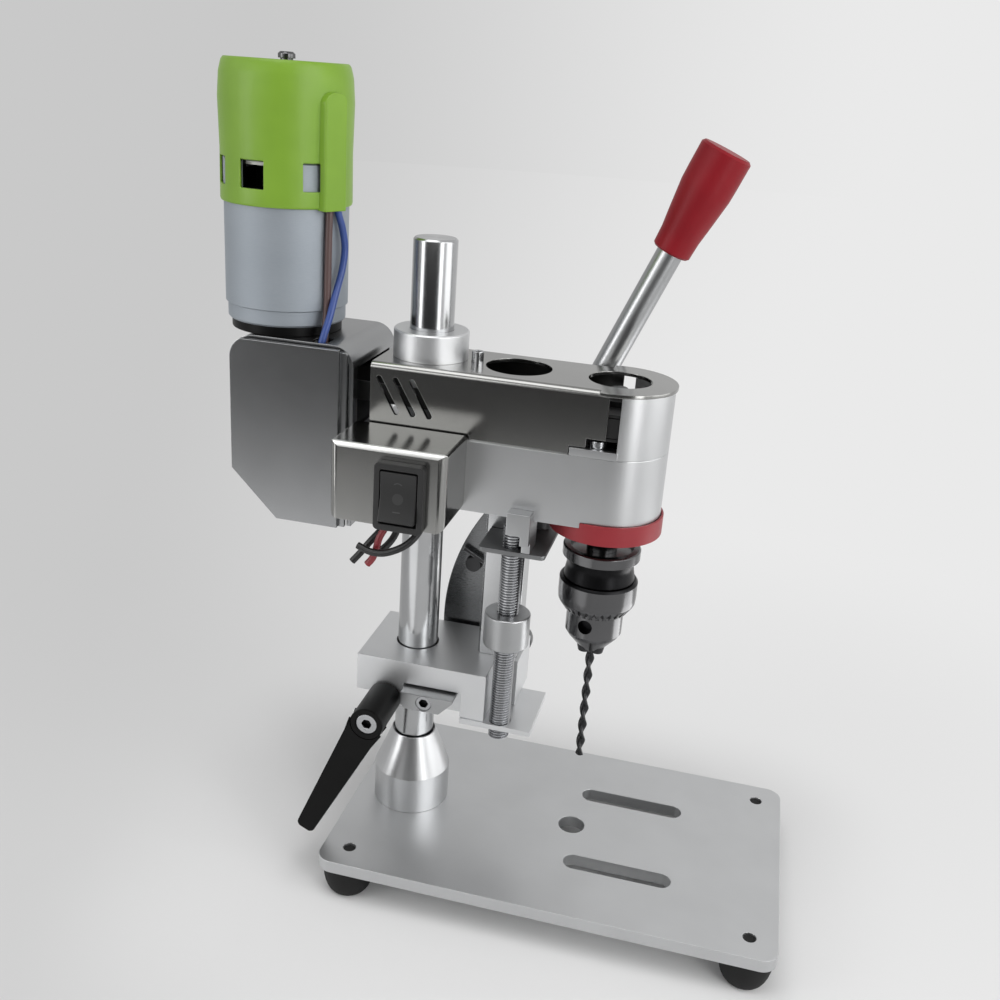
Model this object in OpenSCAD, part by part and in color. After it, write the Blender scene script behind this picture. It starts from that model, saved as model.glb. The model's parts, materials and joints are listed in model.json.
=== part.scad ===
// Mini drill press: a round column on a slotted base plate, a lift block that is clamped to the
// column, and a belt head that a hand lever feeds down along a guide bar.
// The press frame has its origin on the column's axis at the top of the base plate, with +X towards
// the drill, +Y towards the lever and +Z up. placed() moves it to the middle of the footprint.

/* [Base] */
// Length of the base plate
base_l = 200; // [180:1:260]
// Width of the base plate
base_w = 120; // [110:1:180]
// Thickness of the base plate
base_t = 6; // [5:0.5:12]
// Corner radius of the base plate
base_corner_r = 7; // [3:0.5:9]
// Distance from the plate's back edge to the column
column_inset = 25; // [22:1:40]
// Distance of the corner holes from the edges
foot_inset = 12; // [11:0.5:16]
// Radius of a rubber foot
foot_r = 11.5; // [8:0.5:11.5]
// Height of a rubber foot
foot_h = 15; // [8:0.5:22]
// Diameter of a foot's hole
foot_hole_d = 5.5; // [4:0.1:7]
// Diameter of the hole under the drill
work_hole_d = 12; // [6:0.5:20]
// Length of a vise slot
slot_l = 48; // [30:1:60]
// Width of a vise slot
slot_w = 9; // [6:0.5:12]
// Distance between the two vise slots
slot_spread = 50.6; // [42:0.1:60]
// Distance from the drill axis to the middle of the slots
slot_ahead = 25; // [10:1:35]

/* [Column] */
// Diameter of the column
column_d = 18; // [16:0.5:18.5]
// Length of the column
column_l = 263.3; // [250:0.1:320]
// Diameter of the socket's foot
socket_d = 35; // [30:0.5:44]
// Height of the socket's cylindrical foot
socket_foot_h = 18; // [8:0.5:24]
// Height of the whole socket
socket_h = 36.5; // [28:0.5:44]
// Wall left round the column at the top of the socket
socket_rim = 1.3; // [1:0.1:3]

/* [Lift block] */
// Height of the block's underside above the base plate
block_z = 60.5; // [58:0.5:66]
// Height of the block
block_h = 22.5; // [20:0.5:26]
// Width of the block
block_w = 44; // [42:0.5:48]
// Reach of the block behind the column
block_back = 21; // [18:0.5:24]
// Reach of the block in front of the column
block_front = 48; // [47.5:0.5:54]
// Wall of the split bush in the block
bush_wall = 1.8; // [1.2:0.1:2.4]
// Height of the lip over the bush
bush_lip = 3; // [2:0.5:5]
// Thickness of the lower bracket
bracket_t = 2.4; // [2:0.1:4]
// Width of the guide bar, along the arm
bar_w = 18; // [14:0.5:18]
// Thickness of the guide bar
bar_t = 14; // [10:0.5:15]
// Length of the guide bar
bar_l = 91; // [85:0.5:93]

/* [Clamp lever] */
// Radius of the clamp lever's hub
hub_r = 7.4; // [5.5:0.1:7.6]
// Length of the hub
hub_l = 24.5; // [16:0.5:26]
// Length of the arm, from the hub to the middle of the tip
arm_l = 68; // [40:1:69]
// Slope of the arm from straight down
arm_tilt = 25; // [24:1:60]
// Width of the arm at its tip
arm_tip_w = 8.5; // [6:0.5:11]

/* [Head] */
// Height of the head's underside above the base plate
head_z = 158.5; // [154:0.5:162]
// Distance from the column to the drill axis
reach = 79; // [79:0.5:90]
// Width of the head casting
head_w = 44.8; // [44:0.2:48]
// Height of the head casting
head_h = 30; // [29:0.5:34]
// Height of the belt cover
cover_h = 26.8; // [25:0.2:30]
// Wall of the belt cover
sheet_t = 1.5; // [1:0.1:2]
// How far the cover's side stands back from the casting
cover_step = 1.4; // [1:0.1:2]
// Reach of the head behind the column
head_back = 18.5; // [16:0.5:20]
// Diameter of the collar on the column
collar_d = 31; // [27:0.5:34]
// Height of the collar
collar_h = 11.5; // [6:0.5:14]
// Travel of the head on the guide bar
feed = 15.5; // [8:0.5:15.5]

/* [Depth stop] */
// Diameter of the threaded rod
rod_d = 9; // [6:0.5:9]
// Distance of the rod in front of the column
rod_x = 44.3; // [43:0.1:46]
// Distance of the rod to the near side
rod_y = 17.5; // [16.5:0.1:19]
// Diameter of the stop nut
nut_d = 19.6; // [14:0.2:22]
// Height of the stop nut
nut_h = 15; // [8:0.5:18]

/* [Feed lever] */
// Distance of the lever's pivot in front of the column
pivot_x = 50; // [50:0.5:54]
// Height of the lever's pivot above the head's underside
pivot_up = 9.5; // [9:0.5:12]
// Turn of the lever over the whole feed, in degrees
lever_turn = 18.4; // [12:0.2:20]
// Thickness of the cam plate
cam_t = 4; // [3:0.5:5]
// Diameter of the cam pin
cam_pin_d = 6; // [4:0.5:6]
// Diameter of the lever rod
lever_d = 11; // [8:0.5:12]
// Distance from the pivot to the end of the grip
lever_l = 147; // [120:1:180]
// Slope of the lever from straight up
lever_tilt = 22.9; // [15:0.1:35]
// Diameter of the grip
grip_d = 21.5; // [18:0.5:24]
// Length of the grip
grip_l = 44; // [36:1:70]

/* [Motor] */
// Distance from the column back to the motor
motor_back = 63.5; // [62:0.5:68]
// Diameter of the motor can
motor_d = 50; // [44:0.2:50.4]
// Height of the motor can's body
motor_h = 64; // [54:1:74]
// Diameter of the fan cover
cover_d = 52.6; // [52.6:0.2:56]
// Height of the fan cover
fan_cover_h = 53.3; // [45:0.1:70]
// Depth of the motor bracket behind the head
bracket_l = 52; // [50:1:60]
// Height of the motor bracket
bracket_h = 76.7; // [70:0.5:84]
// Diameter of the motor pulley's belt line
motor_pulley_d = 17; // [15:0.5:17.5]
// Diameter of the spindle pulley's belt line
spindle_pulley_d = 34; // [30:0.5:34.5]

/* [Chuck] */
// Diameter of the chuck's toothed sleeve
chuck_d = 33.5; // [32:0.5:38]
// Number of teeth on the sleeve
chuck_teeth = 30; // [18:1:36]
// Diameter of the chuck's nose
nose_d = 24.4; // [23:0.2:26]
// Diameter of the drill
drill_d = 4; // [3:0.5:5]
// Length of the drill below the chuck
drill_out = 57; // [30:0.5:60]
// Length of one full turn of the drill's flutes
drill_lead = 17; // [10:1:24]

/* [Switch] */
// Width of the switch box
box_w = 47.4; // [42:0.2:48]
// Depth of the switch box
box_d = 28; // [22:1:32]
// Height of the switch box
box_h = 32; // [31:0.5:36]
// Radius of the switch box's upright bends
box_bend = 3.5; // [2:0.5:4]
// Width of the rocker's frame
frame_w = 20; // [16:0.5:22]
// Height of the rocker's frame
frame_h = 27.6; // [22:0.2:28]
// How far the rocker's frame stands out from the box
frame_out = 4; // [2:0.5:5]
// Diameter of a switch lead
lead_d = 2.1; // [1.8:0.1:2.2]

/* [Hidden] */
$fn = 96;
eps = 0.01;
fit = 0.05;
gap = 0.3;

base_top = foot_h + base_t;
column_r = column_d / 2;
bush_r = column_r + bush_wall;
foot_spots = [for (x = [foot_inset - column_inset, base_l - column_inset - foot_inset])
              for (s = [-1, 1]) [x, s * (base_w / 2 - foot_inset)]];

motor_r = motor_d / 2;
belly_r = cover_d / 2 + 0.3;
x_low = min(-column_inset, -motor_back - belly_r);
x_high = base_l - column_inset;
x_mid = (x_low + x_high) / 2;

block_top = block_z + block_h;
block_side = block_w / 2;
notch_x = rod_x - rod_d / 2 - 1.8;
notch_y = rod_y - rod_d / 2 - 9;
bar_x = rod_x - 6.8;
bar_near = -2;
bar_mid = bar_near + bar_t / 2;

head_side = head_w / 2;
head_top = head_z + head_h;
cover_side = head_side - cover_step;
cover_top = head_top + cover_h;
cover_front = reach - 0.8;
shroud_front = reach + 4;
sleeve_r = column_r + 2;
bar_pocket_l = bar_w + 2 * gap;

plate_z = head_z - 13.9;
plate_t = 2;
plate_near = -rod_y - rod_d / 2 - 2.5;
lower_near = plate_near + 1.5;
rod_bottom = block_z - 7.5;
rod_top = head_z - 5.1;
nut_z = block_top + feed + gap;

hub_x = -7.2;
hub_z = block_z + 3.8;
hub_in = -block_side - 0.4;
stud_r = 3;

pivot_z = head_z + pivot_up;
cam_y = head_side + 1.6;
cam_pin_x = 13;
cam_pin_z = block_z + 9.5;
cam_slot_r = cam_pin_d / 2 + gap;
cam_edge_r = cam_slot_r + 4;
lid_over = 0.8;
lever_y = head_side + lid_over + 0.4 + lever_d / 2;
lever_out = lever_y + lever_d / 2;

bracket_x = -head_back - 6;
bracket_side = bracket_l / 2;
bracket_w = motor_back + bracket_x + 13;
bracket_back = bracket_x - bracket_w;
bracket_wall = 2;
bracket_top = cover_top + 5.4;
bracket_bottom = bracket_top - bracket_h;
cap_t = 3.9;
cap_r = motor_r - 2.4;
can_step_z = bracket_top + cap_t + 6.8;
can_top = bracket_top + cap_t + motor_h;
shaft_r = 2.5;
fan_cover_z = can_top - 17.3;
fan_cover_top = fan_cover_z + fan_cover_h;
rib_angle = -26;
rib_w = 11.2;
rib_out = motor_r + 4.3;
rib_h = 43;
rib_low = 0.5;
duct_w = rib_w - 2;

belt_z = head_top + 7.8;
belt_w = 8;
belt_t = 1.6;
motor_belt_r = motor_pulley_d / 2;
spindle_belt_r = spindle_pulley_d / 2;
bearing_r = 11;
bearing_h = 7;
bearing_low_z = head_z + 2;
bearing_high_z = head_top - bearing_h - 1.5;
spindle_r = 4;

chuck_top = head_z - 14.6;
ring_z = chuck_top - 5.2;
sleeve_top = ring_z - 9.4;
sleeve_z = sleeve_top - 14.8;
sleeve_chamfer = 3.4;
nose_z = chuck_top - 48.5;
chuck_r = chuck_d / 2;
nose_r = nose_d / 2;
drill_r = drill_d / 2;
drill_tip = nose_z - drill_out;
drill_top = nose_z + 20;
jaw_r = 2.6;
jaw_tilt = 14;
jaw_l = 24;
jaw_travel = 2.4;

box_x = -24;
box_near = -head_side - box_d;
frame_x = 5.8;
frame_z = head_z + frame_h / 2 - 0.2;
switch_body_z = head_z + 1.5;
lead_start_z = head_z + 13;

// Moves the press frame to the middle of the footprint, on the floor.
module placed() translate([-x_mid, 0, base_top]) children();

// A cylinder along Y from y0 to y1.
module along_y(r, y0, y1, x, z) {
  translate([x, y0, z]) rotate([-90, 0, 0]) cylinder(r = r, h = y1 - y0);
}

// An outline drawn in X and Z, as thick as from y0 to y1.
module sheet_y(y0, y1) {
  translate([0, y1, 0]) rotate([90, 0, 0]) linear_extrude(y1 - y0) children();
}

module round_rect(l, w, r) {
  translate([r, 0]) square([l - 2 * r, w]);
  translate([0, r]) square([l, w - 2 * r]);
  for (x = [r, l - r]) for (y = [r, w - r]) translate([x, y]) circle(r);
}

module stadium(l, w) {
  square([l - w, w], center = true);
  for (s = [-1, 1]) translate([s * (l - w) / 2, 0]) circle(w / 2);
}

// A socket-head screw along +Z: its head is below z = 0 and its shank above.
module socket_screw(r, l, head_r, head_h) {
  difference() {
    union() {
      translate([0, 0, -1]) cylinder(r = r, h = l + 1);
      translate([0, 0, -head_h]) cylinder(r = head_r, h = head_h);
    }
    translate([0, 0, -head_h - eps]) cylinder(r = head_r * 0.55, h = head_h * 0.6, $fn = 6);
  }
}

module base_plate() {
  color("silver") difference() {
    translate([-column_inset, -base_w / 2, -base_t])
      linear_extrude(base_t) round_rect(base_l, base_w, base_corner_r);
    for (p = foot_spots) translate([p.x, p.y, -base_t - 1]) cylinder(d = foot_hole_d, h = base_t + 2);
    translate([reach, 0, -base_t - 1]) cylinder(d = work_hole_d, h = base_t + 2);
    for (s = [-1, 1]) translate([reach + slot_ahead, s * slot_spread / 2, -base_t - 1])
      linear_extrude(base_t + 2) stadium(slot_l, slot_w);
    translate([0, 0, -base_t - 1]) cylinder(r = bolt_r + fit, h = base_t + 2);
    translate([0, 0, -base_t - eps]) cylinder(r1 = bolt_head_r + fit, r2 = bolt_r + fit, h = bolt_cone_h);
  }
}
bolt_r = 4;
bolt_head_r = 7.4;
bolt_cone_h = 3.4;

module foot_profile(n = 8) {
  dome = [for (i = [0:n]) [foot_flat_r + (foot_r - foot_flat_r) * sin(90 * i / n),
                           -base_t - 2 - (foot_h - 2) * cos(90 * i / n)]];
  stud_r = foot_hole_d / 2 - fit;
  polygon(concat([[0, -base_t - foot_h]], dome,
                 [[foot_r, -base_t], [stud_r, -base_t], [stud_r, -1], [0, -1]]));
}
foot_flat_r = 6.5;

module rubber_feet() {
  color("dimgray") for (p = foot_spots) translate([p.x, p.y, 0]) rotate_extrude() foot_profile();
}

module column_socket() {
  bore = column_r + fit;
  lip = bore + socket_rim;
  groove = bore + socket_rim * 0.65;
  color("silver") rotate_extrude() polygon([
    [bore, 0], [socket_d / 2, 0], [socket_d / 2, socket_foot_h], [lip, socket_h - 0.6],
    [lip - 0.3, socket_h], [groove, socket_h], [groove, socket_h - 3], [bore, socket_h - 3]]);
}

module column() {
  color("gainsboro") rotate_extrude() polygon([
    [0, bolt_depth], [bolt_r + fit, bolt_depth], [bolt_r + fit, 0], [column_r, 0],
    [column_r, column_l - 0.8], [column_r - 0.8, column_l], [0, column_l]]);
}
bolt_depth = 22;

module column_bolt() {
  color("gray") difference() {
    rotate_extrude() polygon([
      [0, -base_t], [bolt_head_r, -base_t], [bolt_r, bolt_cone_h - base_t],
      [bolt_r, bolt_depth - 2], [0, bolt_depth - 2]]);
    translate([0, 0, -base_t - eps]) cylinder(r = bolt_r * 0.75, h = 2.5, $fn = 6);
  }
}

module height_bush() {
  color("peru") translate([0, 0, block_z]) difference() {
    cylinder(r = bush_r, h = block_h - bush_lip - gap);
    translate([0, 0, -1]) cylinder(r = column_r + fit, h = block_h + 2);
    translate([-bush_r - 1, -0.75, -1]) cube([bush_wall + 2, 1.5, block_h + 2]);
  }
}

module block_outline() {
  polygon([[-block_back, -block_side], [notch_x, -block_side], [notch_x, -notch_y],
           [block_front, -notch_y], [block_front, block_side], [-block_back, block_side]]);
}

module lift_block() {
  color("lightgray") difference() {
    translate([0, 0, block_z]) linear_extrude(block_h) block_outline();
    translate([0, 0, block_z - 1]) cylinder(r = bush_r + fit, h = block_h - bush_lip + 1);
    translate([0, 0, block_z]) cylinder(r = column_r + 0.5, h = block_h + 1);
    // relief under the back end
    translate([-block_back - 1, -block_side - 1, block_z - 1]) cube([block_back - bush_r, block_w + 2, 6]);
    // pocket of the clamp jaw, open below and to the near side
    translate([jaw_x, -block_side - 1, block_z - 1]) cube([jaw_w + 2, jaw_in + 1, jaw_up + 2]);
    along_y(stud_r + fit, -block_side - 1, -column_r, hub_x, hub_z);
    along_y(small_r + fit, -block_side, -block_side + jaw_in + 6, jaw_screw_x, jaw_screw_z);
    along_y(cam_pin_d / 2 + fit, block_side - 9, block_side + 1, cam_pin_x, cam_pin_z);
    for (x = bar_screws) translate([x, bar_mid, block_z - 1]) cylinder(r = screw_r + fit, h = block_h + 2);
  }
}
screw_r = 2.5;
screw_head_r = 4.2;
screw_head_h = 4.5;
bar_screws = [bar_x - 4.5, bar_x + 4.5];
jaw_x = 1;
jaw_w = 24;
jaw_in = 4.2;
jaw_up = 11;
jaw_head_r = 3.5;
jaw_screw_x = 12;
jaw_screw_z = block_z + 7;

module clamp_jaw() {
  low = block_z + 3;
  high = block_z + jaw_up;
  color("dimgray") difference() {
    sheet_y(-block_side - 6, -block_side + jaw_in) polygon([
      [jaw_x + 0.5, low + 2], [jaw_x + 2.5, low], [jaw_x + jaw_w - 6, low],
      [jaw_x + jaw_w, high - 1.5], [jaw_x + jaw_w, high], [jaw_x + 0.5, high]]);
    along_y(small_r + fit, -block_side - 7, -block_side + jaw_in + 1, jaw_screw_x, jaw_screw_z);
    along_y(jaw_head_r + fit, -block_side - 7, -block_side - 2.5, jaw_screw_x, jaw_screw_z);
  }
}

module clamp_jaw_screw() {
  color("silver") translate([jaw_screw_x, -block_side - 2.5, jaw_screw_z])
    rotate([-90, 0, 0]) socket_screw(small_r, jaw_in + 7, jaw_head_r, 3);
}

module lower_bracket() {
  back = bar_screws[0] - screw_head_r - 1.5;
  front = rod_x + rod_d / 2 + 10.5;
  far = bar_mid + screw_head_r + 2.8;
  color("silver") difference() {
    translate([back, lower_near, block_z - bracket_t])
      cube([front - back, far - lower_near, bracket_t]);
    translate([rod_x, -rod_y, block_z - bracket_t - 1]) cylinder(r = rod_d / 2 + gap, h = bracket_t + 2);
    for (x = bar_screws) translate([x, bar_mid, block_z - bracket_t - 1])
      cylinder(r = screw_r + fit, h = bracket_t + 2);
  }
}

module block_screws() {
  color("gray") for (x = bar_screws) translate([x, bar_mid, block_z - bracket_t])
    socket_screw(screw_r, bracket_t + block_h + 9, screw_head_r, screw_head_h);
}

module guide_bar() {
  c = 1.2;
  color("silver") difference() {
    translate([bar_x, bar_mid, block_top]) linear_extrude(bar_l) polygon([
      for (s = [[1, 1], [-1, 1], [-1, -1], [1, -1]]) for (k = [0, 1])
        let (first = (s.x * s.y > 0) == (k == 0))
        [s.x * (bar_w / 2 - (first ? 0 : c)), s.y * (bar_t / 2 - (first ? c : 0))]]);
    for (x = bar_screws) translate([x, bar_mid, block_top - 1]) cylinder(r = screw_r + fit, h = 11);
  }
}

module cam_pin() {
  color("gainsboro") union() {
    along_y(cam_pin_d / 2, block_side - 8.5, cam_y + cam_t + gap + eps, cam_pin_x, cam_pin_z);
    along_y(cam_pin_d / 2 + 2, cam_y + cam_t + gap, cam_y + cam_t + 2.6, cam_pin_x, cam_pin_z);
  }
}

// The arm is drawn hanging straight down from the hub and then tilted backwards.
module clamp_lever() {
  arm_in = hub_in - hub_l + 8;
  color("black") difference() {
    union() {
      along_y(hub_r, hub_in - hub_l, hub_in, hub_x, hub_z);
      translate([hub_x, 0, hub_z]) rotate([0, arm_tilt, 0])
        sheet_y(hub_in - hub_l + 0.8, arm_in) polygon([
          [-hub_r, 0], [-arm_tip_w / 2, -arm_l + 1.5], [-arm_tip_w / 2 + 1.5, -arm_l],
          [arm_tip_w / 2 - 1.5, -arm_l], [arm_tip_w / 2, -arm_l + 1.5], [hub_r, 0]]);
    }
    along_y(stud_r + fit, hub_in - hub_l - 1, hub_in + 1, hub_x, hub_z);
    along_y(stud_r + 1.7, hub_in - hub_l - 1, hub_in - hub_l + 3.5, hub_x, hub_z);
  }
}

module clamp_stud() {
  head_y = hub_in - hub_l + 3.5;
  color("silver") difference() {
    union() {
      along_y(stud_r, head_y - eps, -sqrt(pow(bush_r, 2) - pow(-hub_x - stud_r, 2)) - gap, hub_x, hub_z);
      along_y(stud_r + 1.6, head_y - 3, head_y, hub_x, hub_z);
    }
    translate([hub_x, head_y - 3 - eps, hub_z]) rotate([-90, 0, 0]) cylinder(r = stud_r * 0.7, h = 2, $fn = 6);
  }
}

module head_outline(side, front_r) {
  translate([-head_back, -side]) square([reach + head_back, 2 * side]);
  translate([reach, 0]) circle(front_r);
}

module head_casting() {
  color("lightgray") difference() {
    union() {
      translate([0, 0, head_z]) linear_extrude(head_h) head_outline(head_side, head_side);
      translate([bracket_x, -14, head_z + 3.5]) cube([-head_back - bracket_x + eps, 28, 23]);
    }
    translate([0, 0, head_z - 1]) cylinder(r = sleeve_r + fit, h = head_h + 2);
    translate([bar_x - bar_pocket_l / 2, bar_near - gap, head_z - 1])
      cube([bar_pocket_l, bar_t + 2 * gap, head_h + 2]);
    translate([reach, 0, head_z - 1]) cylinder(r = 9, h = head_h + 2);
    translate([reach, 0, head_z - 1]) cylinder(r = bearing_r + fit, h = bearing_low_z + bearing_h - head_z + 1);
    translate([reach, 0, bearing_high_z]) cylinder(r = bearing_r + fit, h = head_top - bearing_high_z + 1);
    along_y(pivot_r + fit, bar_near + bar_t + 1.2, head_side + 1, pivot_x, pivot_z);
    translate([spacer_x, spacer_y, head_z - 1]) cylinder(r = small_r + fit, h = 8);
    for (s = [-1, 1]) {
      translate([ledge_screw_x, s * ledge_screw_y, head_top - 8]) cylinder(r = small_r + fit, h = 9);
      translate([bracket_x - 1, s * tongue_screw_y, head_z + 15]) rotate([0, 90, 0])
        cylinder(r = small_r + fit, h = 12);
    }
  }
}
pivot_r = 3;
small_r = 2;
spacer_r = 4.2;
spacer_x = bar_x + bar_pocket_l / 2 + spacer_r + 0.1;
spacer_y = 7.5;
ledge_screw_x = reach - 4;
ledge_screw_y = head_side - 5.6;
tongue_screw_y = 8;

module column_sleeve() {
  color("silver") rotate_extrude() polygon([
    [column_r + fit, head_z], [sleeve_r, head_z], [sleeve_r, cover_top], [collar_d / 2, cover_top],
    [collar_d / 2, cover_top + collar_h - 0.6], [collar_d / 2 - 0.6, cover_top + collar_h],
    [column_r + fit, cover_top + collar_h]]);
}

// Cross-section of the folded cover: two walls and a top with rounded bends.
module folded(side, h, bend) {
  translate([-side, 0]) square([2 * side, h - bend]);
  translate([-side + bend, 0]) square([2 * (side - bend), h]);
  for (s = [-1, 1]) translate([s * (side - bend), h - bend]) circle(bend);
}

module belt_cover() {
  color("darkgray") difference() {
    union() {
      translate([-head_back, 0, head_top]) rotate([90, 0, 90])
        linear_extrude(cover_front + head_back) difference() {
          folded(cover_side, cover_h, 2.5);
          translate([0, -1]) folded(cover_side - sheet_t, cover_h - sheet_t + 1, 1);
        }
      translate([0, 0, cover_top - sheet_t]) linear_extrude(sheet_t) difference() {
        translate([reach, 0]) circle(head_side + lid_over);
        translate([-head_back, -base_w]) square([cover_front + head_back - 4, 2 * base_w]);
      }
    }
    translate([reach, 0, cover_top - 5]) cylinder(r = cover_hole_r, h = 10);
    translate([bar_x, 0, cover_top - 5]) cylinder(r = cover_hole_r + 0.8, h = 10);
    translate([0, 0, cover_top - 5]) cylinder(r = sleeve_r + gap, h = 10);
    translate([pin_x, 0, cover_top - 5]) cylinder(r = pin_r + fit, h = 10);
    // three slanted vents in the near wall
    for (i = [0:2]) sheet_y(-cover_side - 1, -cover_side + sheet_t + 1)
      translate([-11 + i * vent_pitch, head_top + 13.8]) rotate(-60) stadium(17.5, vent_w);
    // steps at the walls' lower front corners, over the shroud's lip and its screws
    for (s = [-1, 1]) translate([0, s * cover_side, head_top]) {
      translate([shroud_lip_x - 0.5, -4, -1]) cube([cover_front, 8, lip_h + gap + 1]);
      translate([ledge_screw_x - 4.4, -4, -1]) cube([cover_front, 8, lip_h + 5]);
    }
  }
}
cover_hole_r = 12.7;
pin_x = 20;
pin_r = 2.5;
vent_pitch = 6.9;
vent_w = 2.2;
lip_h = 3.2;
shroud_lip_x = reach - 14.5;

module cover_pin() {
  color("silver") translate([pin_x, 0, cover_top - 5]) difference() {
    cylinder(r = pin_r, h = 9.4);
    translate([0, 0, 7.4]) cylinder(r = pin_r * 0.55, h = 3, $fn = 6);
  }
}

module head_screws() {
  color("gray") {
    for (s = [-1, 1]) translate([ledge_screw_x, s * ledge_screw_y, head_top + ledge_t])
      rotate([180, 0, 0]) socket_screw(small_r, 8, 3.3, 4);
    translate([spacer_x, spacer_y, plate_z - plate_t]) socket_screw(small_r, plate_t + 19.5, 3.3, 3);
  }
}
ledge_t = 2;

module front_shroud() {
  wall = 2;
  color("silver") translate([0, 0, head_top]) difference() {
    union() {
      // round front wall up to the cover's top plate
      linear_extrude(cover_h - sheet_t) difference() {
        translate([reach, 0]) circle(head_side);
        translate([reach, 0]) circle(head_side - wall);
        translate([-head_back, -base_w]) square([shroud_front + head_back, 2 * base_w]);
      }
      // low lip along both sides, with a ledge for the screws
      for (s = [-1, 1]) scale([1, s, 1]) {
        linear_extrude(lip_h) translate([shroud_lip_x, -head_side])
          square([shroud_front - shroud_lip_x + 0.5, wall]);
        linear_extrude(ledge_t) intersection() {
          translate([ledge_screw_x - 5, -head_side]) square([shroud_front - ledge_screw_x + 5, 9.5]);
          head_outline(head_side, head_side);
        }
      }
    }
    for (s = [-1, 1]) translate([ledge_screw_x, s * ledge_screw_y, -1]) cylinder(r = small_r + fit, h = ledge_t + 1);
  }
}

module red_ring() {
  color("firebrick") translate([reach, 0, 0]) difference() {
    union() {
      translate([0, 0, head_z - ring_h]) cylinder(r = ring_r, h = ring_h);
      difference() {
        translate([0, 0, head_z - 1]) cylinder(r = ring_r, h = ring_rim + 1);
        translate([-reach, 0, head_z]) linear_extrude(ring_rim + 1) head_outline(head_side + fit, head_side + fit);
        translate([-ring_r * 2 - 7.5, -ring_r - 1, head_z]) cube([ring_r * 2, ring_r * 2 + 2, ring_rim + 1]);
      }
    }
    translate([0, 0, head_z - ring_h - 1]) cylinder(r = 14.5, h = ring_h + 2);
  }
}
ring_h = 6;
ring_rim = 2.5;
ring_r = head_side + 1.3;

module upper_bracket() {
  color("dimgray") difference() {
    union() {
      translate([0, 0, plate_z - plate_t]) linear_extrude(plate_t) difference() {
        translate([rod_x - 13.3, plate_near]) round_rect(28, 12 - plate_near, 2);
        // open slot for the guide bar
        translate([rod_x - 14.3, bar_near - gap]) square([bar_x + bar_pocket_l / 2 - rod_x + 14.3, 20]);
      }
      translate([spacer_x, spacer_y, plate_z - eps]) cylinder(r = spacer_r, h = head_z - plate_z + eps);
    }
    translate([rod_x, -rod_y, plate_z - plate_t - 1]) cylinder(r = rod_d / 2 + fit, h = plate_t + 2);
    translate([spacer_x, spacer_y, plate_z - plate_t - 1]) cylinder(r = small_r + fit, h = 30);
  }
}

// Angle block: its leg stands on the bracket, and its head covers the rod and lies on the casting.
module rod_block() {
  near = -head_side - 6.6;
  right = rod_x + rod_d / 2 + 4;
  left = rod_x - 1.3;
  color("silver") difference() {
    union() {
      translate([left, near, rod_top]) cube([right - left, -head_side - near - fit, 9.6]);
      translate([left, near, rod_top]) cube([right - left, -rod_y + rod_d / 2 - near, head_z - rod_top]);
      translate([right - 3.8, near, plate_z]) cube([3.8, -rod_y + rod_d / 2 - near, rod_top - plate_z + eps]);
    }
    translate([left - 1, near - 1, plate_z - 1]) cube([right - left + 2, plate_near - near + 1, rod_top - plate_z - 3]);
  }
}

module threaded_rod() {
  l = rod_top - rod_bottom;
  r = rod_d / 2;
  color("silver") translate([rod_x, -rod_y, rod_bottom]) rotate_extrude() polygon([
    [0, 0], [r - 0.8, 0], [r, 0.8], [r, l - 0.4], [r - 0.4, l], [0, l]]);
}

// Side outline of the motor bracket, seen from the near side.
module bracket_outline(inset = 0) {
  left = bracket_back + inset;
  right = bracket_x - inset;
  low = bracket_bottom + inset;
  high = bracket_top - inset;
  r = 9 - inset;
  difference() {
    union() {
      translate([left, low]) square([right - left, high - low - r]);
      translate([left + r, low]) square([right - left - 2 * r, high - low]);
      for (x = [left + r, right - r]) translate([x, high - r]) circle(r);
    }
    polygon([[left - 1, low - 1], [left + chamfer + 1, low - 1], [left - 1, low + chamfer + 1]]);
  }
}
chamfer = 20;

module motor_bracket() {
  near = -bracket_side + plate_gap;
  color("dimgray") difference() {
    sheet_y(near, bracket_side) bracket_outline();
    sheet_y(near - 1, bracket_side - bracket_wall) {
      bracket_outline(bracket_wall);
      translate([bracket_back + chamfer + bracket_wall, bracket_bottom - 1])
        square([bracket_w - chamfer - 2 * bracket_wall, bracket_wall + 2]);
    }
    // window for the belt, towards the head
    translate([bracket_x - bracket_wall - 1, -19, head_z + 28]) cube([bracket_wall + 2, 38, 25]);
    translate([-motor_back, 0, bracket_top - 5]) cylinder(r = 8, h = 10);
    for (s = [-1, 1]) {
      translate([-motor_back, s * motor_screw_y, bracket_top - 5]) cylinder(r = small_r + fit, h = 10);
      translate([bracket_x - 5, s * tongue_screw_y, head_z + 15]) rotate([0, 90, 0])
        cylinder(r = small_r + fit, h = 10);
    }
    // mouth for the motor's leads
    translate([lead_mouth.x, lead_mouth.y, bracket_top - 5]) rotate(90) linear_extrude(10) stadium(10.6, 6.8);
  }
}
plate_gap = 2;
motor_screw_y = 12.5;
lead_mouth = [-40, -18.4];

module inner_plate() {
  near = -bracket_side;
  color("gray") sheet_y(near, near + plate_gap) intersection() {
    bracket_outline();
    translate([bracket_back, bracket_bottom - 1]) square([bracket_w - 2.2, bracket_h - 1.2]);
  }
}

module side_plate() {
  near = -bracket_side - 2;
  color("dimgray") sheet_y(near, near + 2) intersection() {
    bracket_outline();
    translate([bracket_back, bracket_bottom - 1]) square([bracket_w - 4.8, bracket_h]);
  }
}

module bracket_screws() {
  color("gray") for (s = [-1, 1]) {
    translate([-motor_back, s * motor_screw_y, bracket_top - bracket_wall])
      socket_screw(small_r, bracket_wall + 6, 3.3, 3);
    translate([bracket_x - bracket_wall, s * tongue_screw_y, head_z + 15]) rotate([0, 90, 0])
      socket_screw(small_r, bracket_wall + 6, 3.3, 3);
  }
}

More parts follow.
